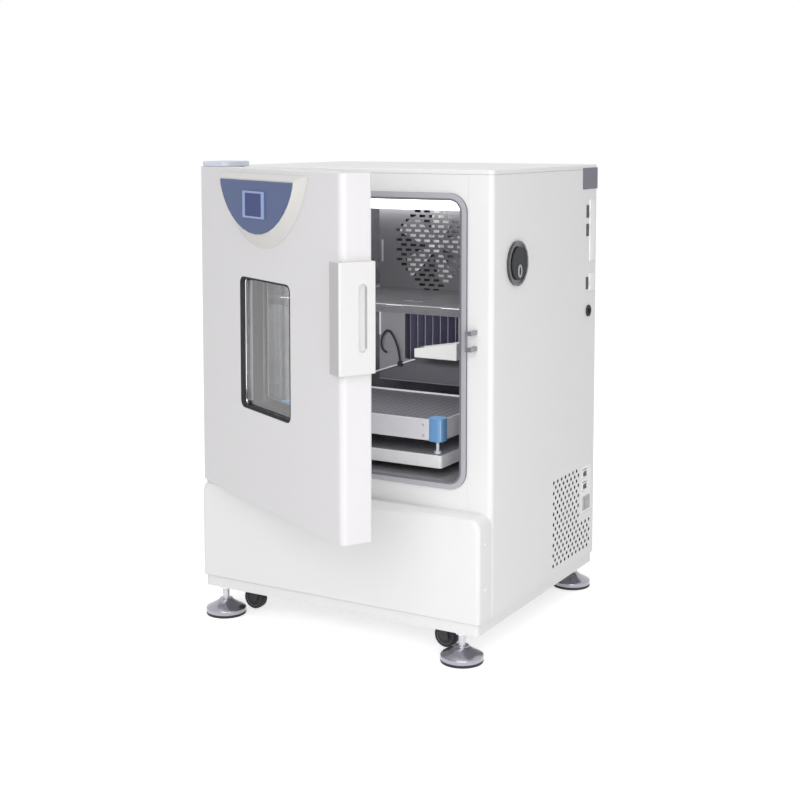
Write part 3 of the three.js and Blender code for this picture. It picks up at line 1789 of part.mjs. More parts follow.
function doorShell() {
  const outer = prism(doorPlan(0), "z", doorBottom, cabinetTop);
  const inside = prism(doorPlan(doorSkin), "z", doorBottom + doorSkin, cabinetTop - doorSkin);
  const rear = box(
    doorLeft + doorHingeCorner,
    doorRight - doorBackCorner,
    innerPanelFront - overrun,
    doorBack + overrun,
    doorBottom + doorBackCorner,
    cabinetTop - doorBackCorner,
  );
  const bushLength = hingePinLength + bushWall;
  const ends = [
    [doorBottom, doorBottom + bushLength],
    [cabinetTop - bushLength, cabinetTop],
  ];
  const centre = [hingeX, hingeY];
  const bushes = ends.map(([low, high]) =>
    bar("z", centre, hingePinRadius + bushWall, low, high, smallSides),
  );
  const bores = [
    [doorBottom - overrun, doorBottom + hingePinLength],
    [cabinetTop - hingePinLength, cabinetTop + overrun],
  ].map(([low, high]) => runningBore("z", centre, hingePinRadius, low, high));
  const window = prism(windowOutline(0), "y", doorFront - overrun, doorFront + 2 * doorSkin);
  const hollow = cut(outer, inside, rear, window);
  return cut(join(hollow, ...bushes), ...bores);
}
addDoorPiece("door_shell", doorShell(), "doorPaint");

// Inner door panel: a plate in the rear opening, stiffened by a raised field round the window
const fieldMargin = 60;
const fieldDepth = 3;

function doorInnerPanel() {
  const margin = doorBackCorner + seam;
  const plate = box(
    doorLeft + doorHingeCorner + seam,
    doorRight - margin,
    innerPanelFront,
    doorBack,
    doorBottom + margin,
    cabinetTop - margin,
  );
  const field = (inset, front, back) =>
    prism(
      roundedRectangle(
        doorLeft + fieldMargin + inset,
        doorRight - fieldMargin - inset,
        doorBottom + fieldMargin + inset,
        cabinetTop - fieldMargin - inset,
        windowCorner - inset,
      ),
      "y",
      front,
      back,
    );
  const raised = field(0, innerPanelFront - fieldDepth, innerPanelFront + seam);
  const hollow = field(doorSkin, innerPanelFront - fieldDepth + doorSkin, doorBack + overrun);
  const window = prism(windowOutline(windowRebate), "y", doorFront, overrun);
  return cut(plate.add(raised), hollow, window);
}
addDoorPiece("door_inner_panel", doorInnerPanel(), "stainless");

// Window frame: a rubber-lined tube through the door that holds two panes
const frameFlange = 2;
const frameBack = innerPanelFront - fieldDepth - seam;

function windowFrame() {
  const tube = prism(windowOutline(seam), "y", doorFront, frameBack);
  const through = prism(
    windowOutline(windowFrameWall + seam),
    "y",
    doorFront - overrun,
    frameBack - frameFlange,
  );
  const rear = prism(windowOutline(windowRebate), "y", doorFront - overrun, frameBack + overrun);
  return cut(tube, through, rear);
}

function pane(front) {
  return prism(windowOutline(windowFrameWall + 2 * seam), "y", front, front + paneThickness);
}
addDoorPiece("window_frame", windowFrame(), "gasketRubber");
addDoorPiece("outer_pane", pane(doorFront + outerPaneDepth), "glass");
addDoorPiece("inner_pane", pane(frameBack - frameFlange - seam - paneThickness), "glass");

// Control pod: a half-moon bezel that flares to its base, a blue face and a framed display
const moonSteps = 18;
const moonFullness = 1.3;
const podTop = cabinetTop - podDrop;
const podFront = doorFront - podDepth;
const faceTop = podTop - faceDrop;
const podRim = 4;
const podEdge = 3;
const podFlareShare = 0.55;

// Half-moon outline: a flat top and a full belly
function moonPoints(width, height, top) {
  const points = [];
  for (let step = 0; step <= moonSteps; step++) {
    const angle = Math.PI + (Math.PI * step) / moonSteps;
    const fall = Math.pow(Math.abs(Math.sin(angle)), moonFullness);
    points.push([doorMiddle + (width / 2) * Math.cos(angle), top - height * fall]);
  }
  return points;
}

// A solid through half-moon sections, each [width, height, top, y], from front to back
function moonLoft(sections) {
  const rings = sections.map(([width, height, top]) => moonPoints(width, height, top));
  const count = moonSteps + 1;
  const positions = [];
  const indices = [];
  rings.forEach((ring, level) => ring.forEach(([x, z]) => positions.push(x, sections[level][3], z)));
  for (let level = 0; level + 1 < rings.length; level++) {
    for (let k = 0; k < count; k++) {
      const next = (k + 1) % count;
      const [a, b, c, d] = [k, next, next + count, k + count].map((i) => i + level * count);
      indices.push(a, b, c, a, c, d);
    }
  }
  const last = (rings.length - 1) * count;
  for (let k = 1; k + 1 < count; k++) {
    indices.push(0, k + 1, k);
    indices.push(last, last + k, last + k + 1);
  }
  const geometry = new THREE.BufferGeometry();
  geometry.setAttribute("position", new THREE.Float32BufferAttribute(positions, 3));
  geometry.setIndex(indices);
  return solid(geometry);
}

function controlBezel() {
  const back = doorFront - seam;
  const neckWidth = faceWidth + 2 * podRim;
  const neckHeight = faceHeight + podRim + podEdge;
  const flareWidth = (neckWidth + podWidth) / 2;
  const flareHeight = (neckHeight + podHeight) / 2;
  return moonLoft([
    [neckWidth - podEdge, neckHeight - podEdge, faceTop + podRim - podEdge / 2, podFront],
    [neckWidth + podRim, neckHeight, faceTop + podRim, podFront + podEdge],
    [flareWidth, flareHeight, podTop - podRim, podFront + podDepth * podFlareShare],
    [podWidth, podHeight, podTop, back],
  ]);
}

function controlFace() {
  const back = podFront - seam;
  return moonLoft([
    [faceWidth - podEdge, faceHeight - podEdge, faceTop - podEdge / 2, back - faceThickness],
    [faceWidth, faceHeight, faceTop, back],
  ]);
}

function display() {
  const back = podFront - 2 * seam - faceThickness;
  const front = back - displayThickness;
  const high = faceTop - displayDrop;
  const panel = (width, height, drop, corner, low, top) =>
    prism(
      roundedRectangle(
        doorMiddle - width / 2,
        doorMiddle + width / 2,
        high - drop - height,
        high - drop,
        corner,
      ),
      "y",
      low,
      top,
    );
  const border = (displayHeight - screenHeight) / 2;
  return panel(displayWidth, displayHeight, 0, podEdge, front, back).subtract(
    panel(screenWidth, screenHeight, border, podEdge / 2, front - overrun, front + screenRecess),
  );
}
addDoorPiece("control_bezel", controlBezel(), "podPlastic");
addDoorPiece("control_face", controlFace(), "facePlastic");
addDoorPiece("display", display(), "frameBlue");

// Handle: a moulded block that wraps the free edge, with a finger groove and a latch pocket
const handleRight = doorRight + handleOverhang;
const handleLeft = handleRight - handleWidth;
const handleLow = doorBottom + handleRise;
const handleFront = doorFront - handleProud;
const handleBack = doorBack - handleBackSet;
const pocketRight = handleRight - pocketWall;
const leverMiddle = strikeLow + strikeHeight / 2;
const leverSlotFront = doorBack - leverSlotDepth;
const leverSlotHalf = leverHeight / 2 + leverPlay;
const leverPivot = [
  strikeLeft + strikeWidth - strikeArm / 2,
  leverSlotFront + leverPinRadius + runningGap,
];

function gripHandle() {
  const outline = new THREE.Shape();
  outline.moveTo(handleLeft, doorFront - seam);
  outline.lineTo(handleLeft, handleFront + handleRound);
  outline.absarc(handleLeft + handleRound, handleFront + handleRound, handleRound, Math.PI, 1.5 * Math.PI);
  outline.lineTo(handleRight - handleRound, handleFront);
  outline.absarc(handleRight - handleRound, handleFront + handleRound, handleRound, -Math.PI / 2, 0);
  outline.lineTo(handleRight, handleBack);
  outline.lineTo(doorRight + seam, handleBack);
  outline.lineTo(doorRight + seam, doorFront - seam);
  const block = prism(outline, "z", handleLow, handleLow + handleHeight);
  const grooveFront = handleFront + gripSetback;
  const groove = prism(
    roundedRectangle(
      grooveFront,
      grooveFront + gripWidth,
      handleLow + gripRise,
      handleLow + gripRise + gripLength,
      gripWidth / 2 - seam,
    ),
    "x",
    handleRight - gripDepth,
    handleRight + overrun,
  );
  const pocket = box(
    doorRight,
    pocketRight,
    doorBack - pocketDepth,
    doorBack,
    strikeLow - pocketPlay,
    strikeLow + strikeHeight + pocketPlay,
  );
  const slotLow = leverMiddle - leverSlotHalf;
  const slotHigh = leverMiddle + leverSlotHalf;
  const slot = box(doorRight, pocketRight, leverSlotFront, doorBack, slotLow, slotHigh);
  const pinHole = runningBore(
    "z",
    leverPivot,
    leverPinRadius,
    slotLow - 2 * leverPinRadius,
    slotHigh + 2 * leverPinRadius,
    boltSides,
  );
  return cut(block, groove, pocket, slot, pinHole);
}
addDoorPiece("door_handle", gripHandle(), "gripPlastic");

// Latch lever in the pocket: its nib swings in behind the spine of the strike
function latchLever() {
  const high = leverHeight / 2;
  const half = leverThickness / 2;
  const blade = box(-half, half, 0, leverReach + nibDepth / 2, -high, high);
  const nib = box(
    -half - nibReach,
    half,
    leverReach + nibDepth / 4,
    leverReach + nibDepth,
    -high,
    high,
  );
  const reach = leverSlotHalf + leverPinRadius;
  const pin = bar("z", [0, 0], leverPinRadius, -reach, reach, boltSides);
  return join(blade, nib, pin);
}
const lever = addPiece(door, "latch_lever", latchLever(), "greyPlastic");
lever.position.set(leverPivot[0] - hingeX, leverPivot[1] - hingeY, leverMiddle);

// The origin goes to the bottom centre of the whole, as it stands with the door ajar
const bounds = new THREE.Box3().setFromObject(incubator, true);
const middle = bounds.getCenter(new THREE.Vector3());
incubator.position.set(-middle.x, -middle.y, -bounds.min.z);
const part = new THREE.Group();
part.add(incubator);
export default part;
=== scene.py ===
# Looks of the incubated shaker cabinet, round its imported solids. Metres, +Z up, door to -Y.
import json
import math

import bpy
from mathutils import Matrix, Vector


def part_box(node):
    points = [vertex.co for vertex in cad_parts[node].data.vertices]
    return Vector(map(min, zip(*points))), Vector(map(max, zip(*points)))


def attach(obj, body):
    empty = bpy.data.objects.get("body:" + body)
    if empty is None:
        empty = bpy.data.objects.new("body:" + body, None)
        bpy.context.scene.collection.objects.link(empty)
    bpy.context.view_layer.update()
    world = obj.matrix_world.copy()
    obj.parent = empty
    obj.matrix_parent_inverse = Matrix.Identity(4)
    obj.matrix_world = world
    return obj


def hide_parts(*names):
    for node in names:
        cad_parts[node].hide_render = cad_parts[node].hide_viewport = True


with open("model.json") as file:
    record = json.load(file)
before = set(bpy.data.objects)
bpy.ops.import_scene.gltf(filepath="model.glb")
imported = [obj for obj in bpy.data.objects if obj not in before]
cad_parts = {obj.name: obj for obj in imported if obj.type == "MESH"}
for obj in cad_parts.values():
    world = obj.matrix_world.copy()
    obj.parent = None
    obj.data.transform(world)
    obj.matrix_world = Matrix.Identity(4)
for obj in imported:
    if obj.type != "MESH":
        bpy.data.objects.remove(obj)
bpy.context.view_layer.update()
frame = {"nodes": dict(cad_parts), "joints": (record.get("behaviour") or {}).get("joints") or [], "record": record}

nodes = frame["nodes"]
millimetre = 0.001

# Where the cabinet's own middle, front face and floor lie in the frame
cover_low, cover_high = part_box("top_cover")
shift = Vector(((cover_low.x + cover_high.x) / 2, cover_low.y, 0))


def place(x, y, z):
    """A point given in the cabinet's own millimetres, in the frame's metres."""
    return Vector((x, y, z)) * millimetre + shift


# The door's hinge axis, and how far the door stands open in the frame
door_joint = next(joint for joint in frame["joints"] if joint["name"] == "door_hinge")
hinge_point = Vector(door_joint["pos_m"])
door_open = math.radians(door_joint["range_deg"][0])
to_hinge = Matrix.Translation(hinge_point)
door_swing = to_hinge @ Matrix.Rotation(door_open, 4, "Z") @ to_hinge.inverted()


# Camera at the photograph's angle
focal_pixels = 1424
picture_pixels = 800
camera_turn = math.radians(29.8)
camera_tilt = math.radians(4.74)
horizon_pixels = 250
camera_place = place(1403, -2246, 948)


def make_camera():
    data = bpy.data.cameras.new("view")
    data.sensor_width = 36
    data.lens = focal_pixels / picture_pixels * data.sensor_width
    data.shift_y = (horizon_pixels - picture_pixels / 2) / picture_pixels
    data.clip_end = 30
    camera = bpy.data.objects.new("view", data)
    bpy.context.collection.objects.link(camera)
    back = Vector((
        math.sin(camera_turn) * math.cos(camera_tilt),
        -math.cos(camera_turn) * math.cos(camera_tilt),
        math.sin(camera_tilt),
    ))
    right = Vector((math.cos(camera_turn), math.sin(camera_turn), 0))
    up = back.cross(right)
    turn = Matrix((right, up, back)).transposed()
    camera.matrix_world = Matrix.Translation(camera_place) @ turn.to_4x4()
    bpy.context.scene.camera = camera


make_camera()


# Levels of the things that glow, and of the sky as it lights and as it is seen
lamp_glow = 3.6
floor_glow = 0.6
lighting_sky = 0.5
seen_sky = 1.0


# Shader helpers
def new_material(name):
    material = bpy.data.materials.new(name)
    material.use_nodes = True
    tree = material.node_tree
    return material, tree, tree.nodes["Principled BSDF"]


def object_coordinates(tree, scale=(1, 1, 1)):
    source = tree.nodes.new("ShaderNodeTexCoord")
    mapping = tree.nodes.new("ShaderNodeMapping")
    mapping.inputs["Scale"].default_value = scale
    tree.links.new(source.outputs["Object"], mapping.inputs["Vector"])
    return mapping.outputs["Vector"]


def new_group(name, inputs, outputs):
    group = bpy.data.node_groups.new(name, "ShaderNodeTree")
    for label, kind, value in inputs:
        socket = group.interface.new_socket(label, in_out="INPUT", socket_type=kind)
        if value is not None:
            socket.default_value = value
    for label, kind in outputs:
        group.interface.new_socket(label, in_out="OUTPUT", socket_type=kind)
    enter = group.nodes.new("NodeGroupInput")
    leave = group.nodes.new("NodeGroupOutput")
    return group, enter, leave


def math_node(tree, operation, first, second):
    node = tree.nodes.new("ShaderNodeMath")
    node.operation = operation
    for socket, value in zip(node.inputs, (first, second)):
        if isinstance(value, (int, float)):
            socket.default_value = value
        else:
            tree.links.new(value, socket)
    return node.outputs["Value"]


def seen_directly(tree):
    """1 where a surface or the sky is seen by the camera, in a mirror or through glass, else 0."""
    path = tree.nodes.new("ShaderNodeLightPath")
    seen = math_node(tree, "MAXIMUM", path.outputs["Is Camera Ray"], path.outputs["Is Glossy Ray"])
    return math_node(tree, "MAXIMUM", seen, path.outputs["Is Transmission Ray"])


def tone_group():
    """Slow tone changes and fine grain over a surface: a colour, a roughness and a height."""
    group, enter, leave = new_group(
        "tone_and_grain",
        [
            ("Vector", "NodeSocketVector", None),
            ("Colour", "NodeSocketColor", (1, 1, 1, 1)),
            ("Tone change", "NodeSocketFloat", 0.02),
            ("Roughness", "NodeSocketFloat", 0.5),
            ("Roughness change", "NodeSocketFloat", 0.1),
            ("Patch scale", "NodeSocketFloat", 6.0),
            ("Grain scale", "NodeSocketFloat", 900.0),
        ],
        [("Colour", "NodeSocketColor"), ("Roughness", "NodeSocketFloat"), ("Height", "NodeSocketFloat")],
    )
    patches = group.nodes.new("ShaderNodeTexNoise")
    patches.inputs["Detail"].default_value = 3
    group.links.new(enter.outputs["Vector"], patches.inputs["Vector"])
    group.links.new(enter.outputs["Patch scale"], patches.inputs["Scale"])
    grain = group.nodes.new("ShaderNodeTexNoise")
    grain.inputs["Detail"].default_value = 2
    group.links.new(enter.outputs["Vector"], grain.inputs["Vector"])
    group.links.new(enter.outputs["Grain scale"], grain.inputs["Scale"])
    swing = math_node(group, "SUBTRACT", patches.outputs["Fac"], 0.5)
    tone = math_node(group, "MULTIPLY", swing, enter.outputs["Tone change"])
    level = math_node(group, "ADD", tone, 1.0)
    tint = group.nodes.new("ShaderNodeVectorMath")
    tint.operation = "SCALE"
    group.links.new(enter.outputs["Colour"], tint.inputs[0])
    group.links.new(level, tint.inputs["Scale"])
    group.links.new(tint.outputs["Vector"], leave.inputs["Colour"])
    uneven = math_node(group, "MULTIPLY", swing, enter.outputs["Roughness change"])
    rough = math_node(group, "ADD", uneven, enter.outputs["Roughness"])
    group.links.new(rough, leave.inputs["Roughness"])
    group.links.new(grain.outputs["Fac"], leave.inputs["Height"])
    return group


tone_and_grain = tone_group()


def linear(hex_colour):
    parts = [int(hex_colour[i:i + 2], 16) / 255 for i in (1, 3, 5)]
    return tuple(p / 12.92 if p <= 0.04045 else ((p + 0.055) / 1.055) ** 2.4 for p in parts) + (1,)


def plain_finish(name, colour, roughness, metallic=0.0, tone=0.03, patch=6.0, grain=900.0,
                 relief=0.02, stretch=(1, 1, 1), uneven=0.08, coat=0.0, specular=0.5):
    """A finish with slow changes of tone and roughness and a fine grain in relief."""
    material, tree, shader = new_material(name)
    effect = tree.nodes.new("ShaderNodeGroup")
    effect.node_tree = tone_and_grain
    tree.links.new(object_coordinates(tree, stretch), effect.inputs["Vector"])
    effect.inputs["Colour"].default_value = linear(colour)
    effect.inputs["Tone change"].default_value = tone
    effect.inputs["Roughness"].default_value = roughness
    effect.inputs["Roughness change"].default_value = uneven
    effect.inputs["Patch scale"].default_value = patch
    effect.inputs["Grain scale"].default_value = grain
    bump = tree.nodes.new("ShaderNodeBump")
    bump.inputs["Strength"].default_value = relief * 10
    bump.inputs["Distance"].default_value = 0.0002
    tree.links.new(effect.outputs["Height"], bump.inputs["Height"])
    tree.links.new(effect.outputs["Colour"], shader.inputs["Base Color"])
    tree.links.new(effect.outputs["Roughness"], shader.inputs["Roughness"])
    tree.links.new(bump.outputs["Normal"], shader.inputs["Normal"])
    shader.inputs["Metallic"].default_value = metallic
    shader.inputs["Coat Weight"].default_value = coat
    shader.inputs["Specular IOR Level"].default_value = specular
    return material


def glass_finish():
    material, tree, shader = new_material("window_glass")
    shader.inputs["Base Color"].default_value = (0.985, 0.99, 0.99, 1)
    shader.inputs["Transmission Weight"].default_value = 1.0
    shader.inputs["IOR"].default_value = 1.45
    noise = tree.nodes.new("ShaderNodeTexNoise")
    noise.inputs["Scale"].default_value = 14
    tree.links.new(object_coordinates(tree), noise.inputs["Vector"])
    rough = tree.nodes.new("ShaderNodeMapRange")
    rough.inputs["To Min"].default_value = 0.0
    rough.inputs["To Max"].default_value = 0.01
    tree.links.new(noise.outputs["Fac"], rough.inputs["Value"])
    tree.links.new(rough.outputs["Result"], shader.inputs["Roughness"])
    return material


def lamp_finish():
    material, tree, shader = new_material("lamp_diffuser")
    ribs = tree.nodes.new("ShaderNodeTexWave")
    ribs.bands_direction = "X"
    ribs.inputs["Scale"].default_value = 60
    tree.links.new(object_coordinates(tree), ribs.inputs["Vector"])
    glow = tree.nodes.new("ShaderNodeMapRange")
    glow.inputs["To Min"].default_value = 0.92
    glow.inputs["To Max"].default_value = 1.0
    tree.links.new(ribs.outputs["Fac"], glow.inputs["Value"])
    tree.links.new(glow.outputs["Result"], shader.inputs["Emission Color"])
    shader.inputs["Emission Strength"].default_value = lamp_glow
    shader.inputs["Base Color"].default_value = (0.95, 0.95, 0.95, 1)
    return material


def brushed(name, colour, roughness, along, tone=0.12, metal=1.0):
    stretch = {"x": (0.02, 1, 1), "y": (1, 0.02, 1), "z": (1, 1, 0.02)}[along]
    return plain_finish(name, colour, roughness, metal, tone, 60.0, 1400.0, 0.012, stretch, 0.18)


def dotted_finish(name, colour, hole_shade_colour, pitch, radius):
    """A sheet with a square pattern of small round dark dots, painted shade where holes would be, drawn across X
    and Y.
    """
    material = plain_finish(name, colour, 0.5, 0.3, 0.08, 30, 900, 0.03)
    tree = material.node_tree
    shader = tree.nodes["Principled BSDF"]
    parts = tree.nodes.new("ShaderNodeSeparateXYZ")
    tree.links.new(object_coordinates(tree), parts.inputs["Vector"])
    squares = []
    for axis in "XY":
        place_in_row = math_node(tree, "PINGPONG", parts.outputs[axis], pitch / 2)
        squares.append(math_node(tree, "POWER", place_in_row, 2.0))
    distance = math_node(tree, "SQRT", math_node(tree, "ADD", *squares), 0.0)
    inside = math_node(tree, "LESS_THAN", distance, radius)
    mix = tree.nodes.new("ShaderNodeMix")
    mix.data_type = "RGBA"
    tree.links.new(inside, mix.inputs["Factor"])
    tree.links.new(shader.inputs["Base Color"].links[0].from_socket, mix.inputs[6])
    mix.inputs[7].default_value = linear(hole_shade_colour)
    tree.links.new(mix.outputs[2], shader.inputs["Base Color"])
    return material


finishes = {
    "powder_coat": plain_finish("powder_coat", "#f1f0f0", 0.42, tone=0.012, grain=700),
    # A darker copy of the handle's white: painted shade on the handle's front face, and the inlet shroud's own
    # grey.
    "painted_shade_and_inlet_grey": plain_finish("painted_shade_and_inlet_grey", "#bebcbd", 0.45, tone=0.01, grain=1500, relief=0.03),
    # The door's paint is the cabinet's white made darker: painted shade on the door's face.
    "door_coat_with_painted_shade": plain_finish("door_coat_with_painted_shade", "#e6e4e6", 0.42, tone=0.012, grain=700),
    "handle_plastic": plain_finish("handle_plastic", "#e3e2e2", 0.45, tone=0.01, grain=1500, relief=0.03),
    "pod_plastic": plain_finish("pod_plastic", "#dad9d6", 0.4, tone=0.01, grain=1500),
    "face_film": plain_finish("face_film", "#4a5b86", 0.5, tone=0.08, patch=9, grain=1800, coat=0.1),
    "display_frame": plain_finish("display_frame", "#93a6d4", 0.35, tone=0.03, grain=1800),
    "hinge_plastic": plain_finish("hinge_plastic", "#d3d9e8", 0.4, tone=0.03),
    "chamber_steel": brushed("chamber_steel", "#a4a4a8", 0.2, "x", tone=0.06, metal=0.75),
    "duct_steel": brushed("duct_steel", "#98989c", 0.5, "z", metal=0.2),
    "door_lining": plain_finish("door_lining", "#c4c4c8", 0.4, tone=0.03, grain=500, relief=0.01),
    "shelf_steel": brushed("shelf_steel", "#8c8c90", 0.45, "x", metal=0.4),
    # The gasket's grey, which on its inner walls is also painted shade; its front band takes a lighter copy as
    # painted light.
    "gasket": plain_finish("gasket", "#78767e", 0.6, tone=0.06, grain=1200, relief=0.05),
    "gasket_painted_light": plain_finish("gasket_painted_light", "#b6b5bb", 0.5, tone=0.05, grain=1200, relief=0.05),
    "black_rubber": plain_finish("black_rubber", "#2a2b2e", 0.7, tone=0.2, grain=1500, relief=0.06),
    # Black plastic of the switches and ports, also used as painted shade in and behind the vent's holes.
    "black_plastic_and_painted_shade": plain_finish("black_plastic_and_painted_shade", "#1f2023", 0.42, tone=0.1, grain=1600, relief=0.04),
    "grey_plastic": plain_finish("grey_plastic", "#a5a7ac", 0.45, tone=0.05, grain=1600),
    "white_plastic": plain_finish("white_plastic", "#f1f1ef", 0.42, tone=0.02, grain=1500),
    "bright_plastic": plain_finish("bright_plastic", "#fbfbfb", 0.38, tone=0.01, grain=1500),
    "tray_blue": plain_finish("tray_blue", "#72a8da", 0.36, tone=0.06, grain=1300, coat=0.2),
    "zinc_plate": plain_finish("zinc_plate", "#e2e4e8", 0.3, 0.8, 0.15, 40, 800, 0.02),
    "bare_aluminium": plain_finish("bare_aluminium", "#cfd1d5", 0.36, 1.0, 0.08, 30, 900, 0.03),
    "cast_iron": plain_finish("cast_iron", "#5a5d62", 0.6, 0.7, 0.2, 50, 400, 0.1),
    "dark_paint": plain_finish("dark_paint", "#34363a", 0.5, 0.1, 0.15, 20, 900, 0.03),
    "foot_metal": plain_finish("foot_metal", "#a6a5ae", 0.2, 0.9, 0.1, 20, 900, 0.02, coat=0.4),
    "deck_grey": dotted_finish("deck_grey", "#77777d", "#48484e", 0.015, 0.0028),
    "shade_plate_grey": plain_finish("shade_plate_grey", "#68686e", 0.5, 0.1, 0.06, 30, 900),
    "carriage_top_painted_shade": plain_finish("carriage_top_painted_shade", "#b5b4ba", 0.5, tone=0.06, grain=900),
    "fin_dark": plain_finish("fin_dark", "#9896ae", 0.7, 0, 0.08, 30, 900, 0.03, specular=0.1),
    "reveal_dark": plain_finish(
        "reveal_dark", "#46454a", 0.8, tone=0.03, grain=300, relief=0, specular=0.05
    ),
    "port_grey": plain_finish("port_grey", "#46484c", 0.22, 0.3, 0.1, 30, 900, 0.02, coat=0.4),
    "fan_white": plain_finish("fan_white", "#f4f4f6", 0.4, tone=0.03, grain=1500),
    "screen_film": plain_finish("screen_film", "#303d74", 0.55, tone=0.06, patch=12, grain=1800),
    "plate_grey": plain_finish("plate_grey", "#716e7c", 0.45, tone=0.06, patch=20, grain=1500),
    "strike_metal": plain_finish("strike_metal", "#97989d", 0.34, 0.6, 0.12, 60, 900, 0.03),
    "pale_steel": plain_finish("pale_steel", "#ececf0", 0.4, 0.05, 0.05, 40, 900, 0.02),
    "mineral_wool": plain_finish("mineral_wool", "#d9c88e", 0.95, 0.0, 0.3, 80, 500, 0.3),
    "window_glass": glass_finish(),
    "lamp_diffuser": lamp_finish(),
}

node_finishes = {
    "powder_coat": [
        "base_frame", "left_side_panel", "right_side_panel", "rear_panel", "top_cover", "front_frame",
        "lower_front_panel",
    ],
    "door_coat_with_painted_shade": ["door_shell"],
    "chamber_steel": ["chamber_liner"],
    "duct_steel": ["duct_cover"],
    "door_lining": ["door_inner_panel"],
    "shelf_steel": ["shelf"],
    "gasket": ["door_gasket"],
    "reveal_dark": ["window_frame"],
    "port_grey": ["port_sleeve"],
    "black_rubber": ["port_plug", "cable_grommet", "drive_belt", "temperature_sensor"],
    "bright_plastic": ["carriage_plate", "switch_plate", "power_switch", "breaker_switch"],
    "grey_plastic": ["latch_lever"],
    "strike_metal": ["door_strike"],
    "fan_white": ["circulation_fan"],
    "fin_dark": ["evaporator"],
    "pale_steel": ["tray_frame"],
    "white_plastic": ["drip_tray"],
    "zinc_plate": ["idler_crank_left", "idler_crank_right"],
    "bare_aluminium": ["motor_pulley", "condenser"],
    "cast_iron": ["drive_base", "main_crank"],
    "dark_paint": ["drive_motor", "fan_motor", "compressor"],
    "deck_grey": ["tray_deck"],
    "mineral_wool": ["insulation"],
    "window_glass": ["outer_pane", "inner_pane"],
    "lamp_diffuser": ["chamber_lamp"],
    "handle_plastic": ["door_handle"],
    "pod_plastic": ["control_bezel"],
    "face_film": ["control_face"],
    "display_frame": ["display"],
    "hinge_plastic": ["top_hinge"],
}
corners = ["front_left", "front_right", "rear_left", "rear_right"]
node_finishes["dark_paint"] += ["caster_fork_" + corner for corner in corners]
finish_of = {name: finish for finish, names in node_finishes.items() for name in names}
body_of_node = {
    name: body for body, names in frame["record"]["behaviour"]["bodies"].items() for name in names
}


def dress_nodes():
    for name, finish_name in finish_of.items():
        for slot in nodes[name].material_slots:
            slot.material = finishes[finish_name]


dress_nodes()


# Modelling helpers. Those that make a piece leave it selected and active.
smooth_angle = math.radians(35)
soften_from = math.radians(40)
flat_angle = math.radians(0.5)
weld_reach = 0.01
corner_steps = 6
# The chamber's mouth, in the cabinet's millimetres
mouth_half_width = 242
mouth_half_height = 254.5
mouth_middle = 571.5
mouth_corner = 21
body_of_piece = {}


def deselect():
    bpy.ops.object.select_all(action="DESELECT")


def edit(selected=True):
    bpy.ops.object.mode_set(mode="EDIT")
    bpy.ops.mesh.select_all(action="SELECT" if selected else "DESELECT")


def leave_edit():
    bpy.ops.object.mode_set(mode="OBJECT")


def choose_faces(piece, test):
    """Selects the faces that pass the test, in edit mode."""
    bpy.ops.object.mode_set(mode="EDIT")
    bpy.ops.mesh.select_mode(type="FACE")
    bpy.ops.mesh.select_all(action="DESELECT")
    leave_edit()
    for face in piece.data.polygons:
        face.select = test(face)
    bpy.ops.object.mode_set(mode="EDIT")


def finish_piece(piece, name, finish, body, stands_for=(), edge=0.0, segments=2, seconds=None):
    """Softens the edges, shades the piece, and ties it to a body and to the nodes it stands for."""
    piece.name = name
    if edge:
        soft = piece.modifiers.new("edges", "BEVEL")
        soft.width = edge * millimetre
        soft.segments = segments
        soft.limit_method = "ANGLE"
        soft.angle_limit = soften_from
        bpy.ops.object.modifier_apply(modifier=soft.name)
    bpy.ops.object.shade_smooth_by_angle(angle=smooth_angle)
    fair = piece.modifiers.new("flat_faces", "WEIGHTED_NORMAL")
    fair.keep_sharp = True
    bpy.ops.object.modifier_apply(modifier=fair.name)
    slots_used = [face.material_index for face in piece.data.polygons]
    piece.data.materials.clear()
    piece.data.materials.append(finishes[finish])
    if seconds:
        piece.data.materials.append(finishes[seconds])
        for face, slot in zip(piece.data.polygons, slots_used):
            face.material_index = slot
    if body == "door" and not stands_for:
        piece.matrix_world = door_swing @ piece.matrix_world
    bpy.ops.object.transform_apply(location=True, rotation=True, scale=True)
    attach(piece, body)
    body_of_piece[piece.name] = body
    if stands_for:
        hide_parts(*stands_for)
    return piece


def merged_copy(name):
    """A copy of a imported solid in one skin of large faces, selected and active."""
    deselect()
    source = nodes[name]
    piece = source.copy()
    piece.data = source.data.copy()
    bpy.context.collection.objects.link(piece)
    piece.parent = None
    piece.matrix_world = source.matrix_world
    piece.select_set(True)
    bpy.context.view_layer.objects.active = piece
    edit()
    bpy.ops.mesh.remove_doubles(threshold=weld_reach * millimetre)
    bpy.ops.mesh.dissolve_limited(angle_limit=flat_angle)
    bpy.ops.mesh.normals_make_consistent(inside=False)
    leave_edit()
    return piece


def finish_copy(piece, name, edge, second_finish=None):
    """Finishes a merged copy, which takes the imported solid's place on its body."""
    body = body_of_node[name]
    finish_piece(piece, name + "_look", finish_of[name], body, (name,), edge, seconds=second_finish)


def soften(name, edge):
    """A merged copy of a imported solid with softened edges."""
    finish_copy(merged_copy(name), name, edge)


def beyond_mouth(point, reach):
    """Whether a point lies more than the reach outside the chamber's mouth."""
    across = abs((point - shift).x / millimetre) - mouth_half_width + mouth_corner
    up = abs(point.z / millimetre - mouth_middle) - mouth_half_height + mouth_corner
    return math.hypot(max(across, 0), max(up, 0)) > mouth_corner + reach


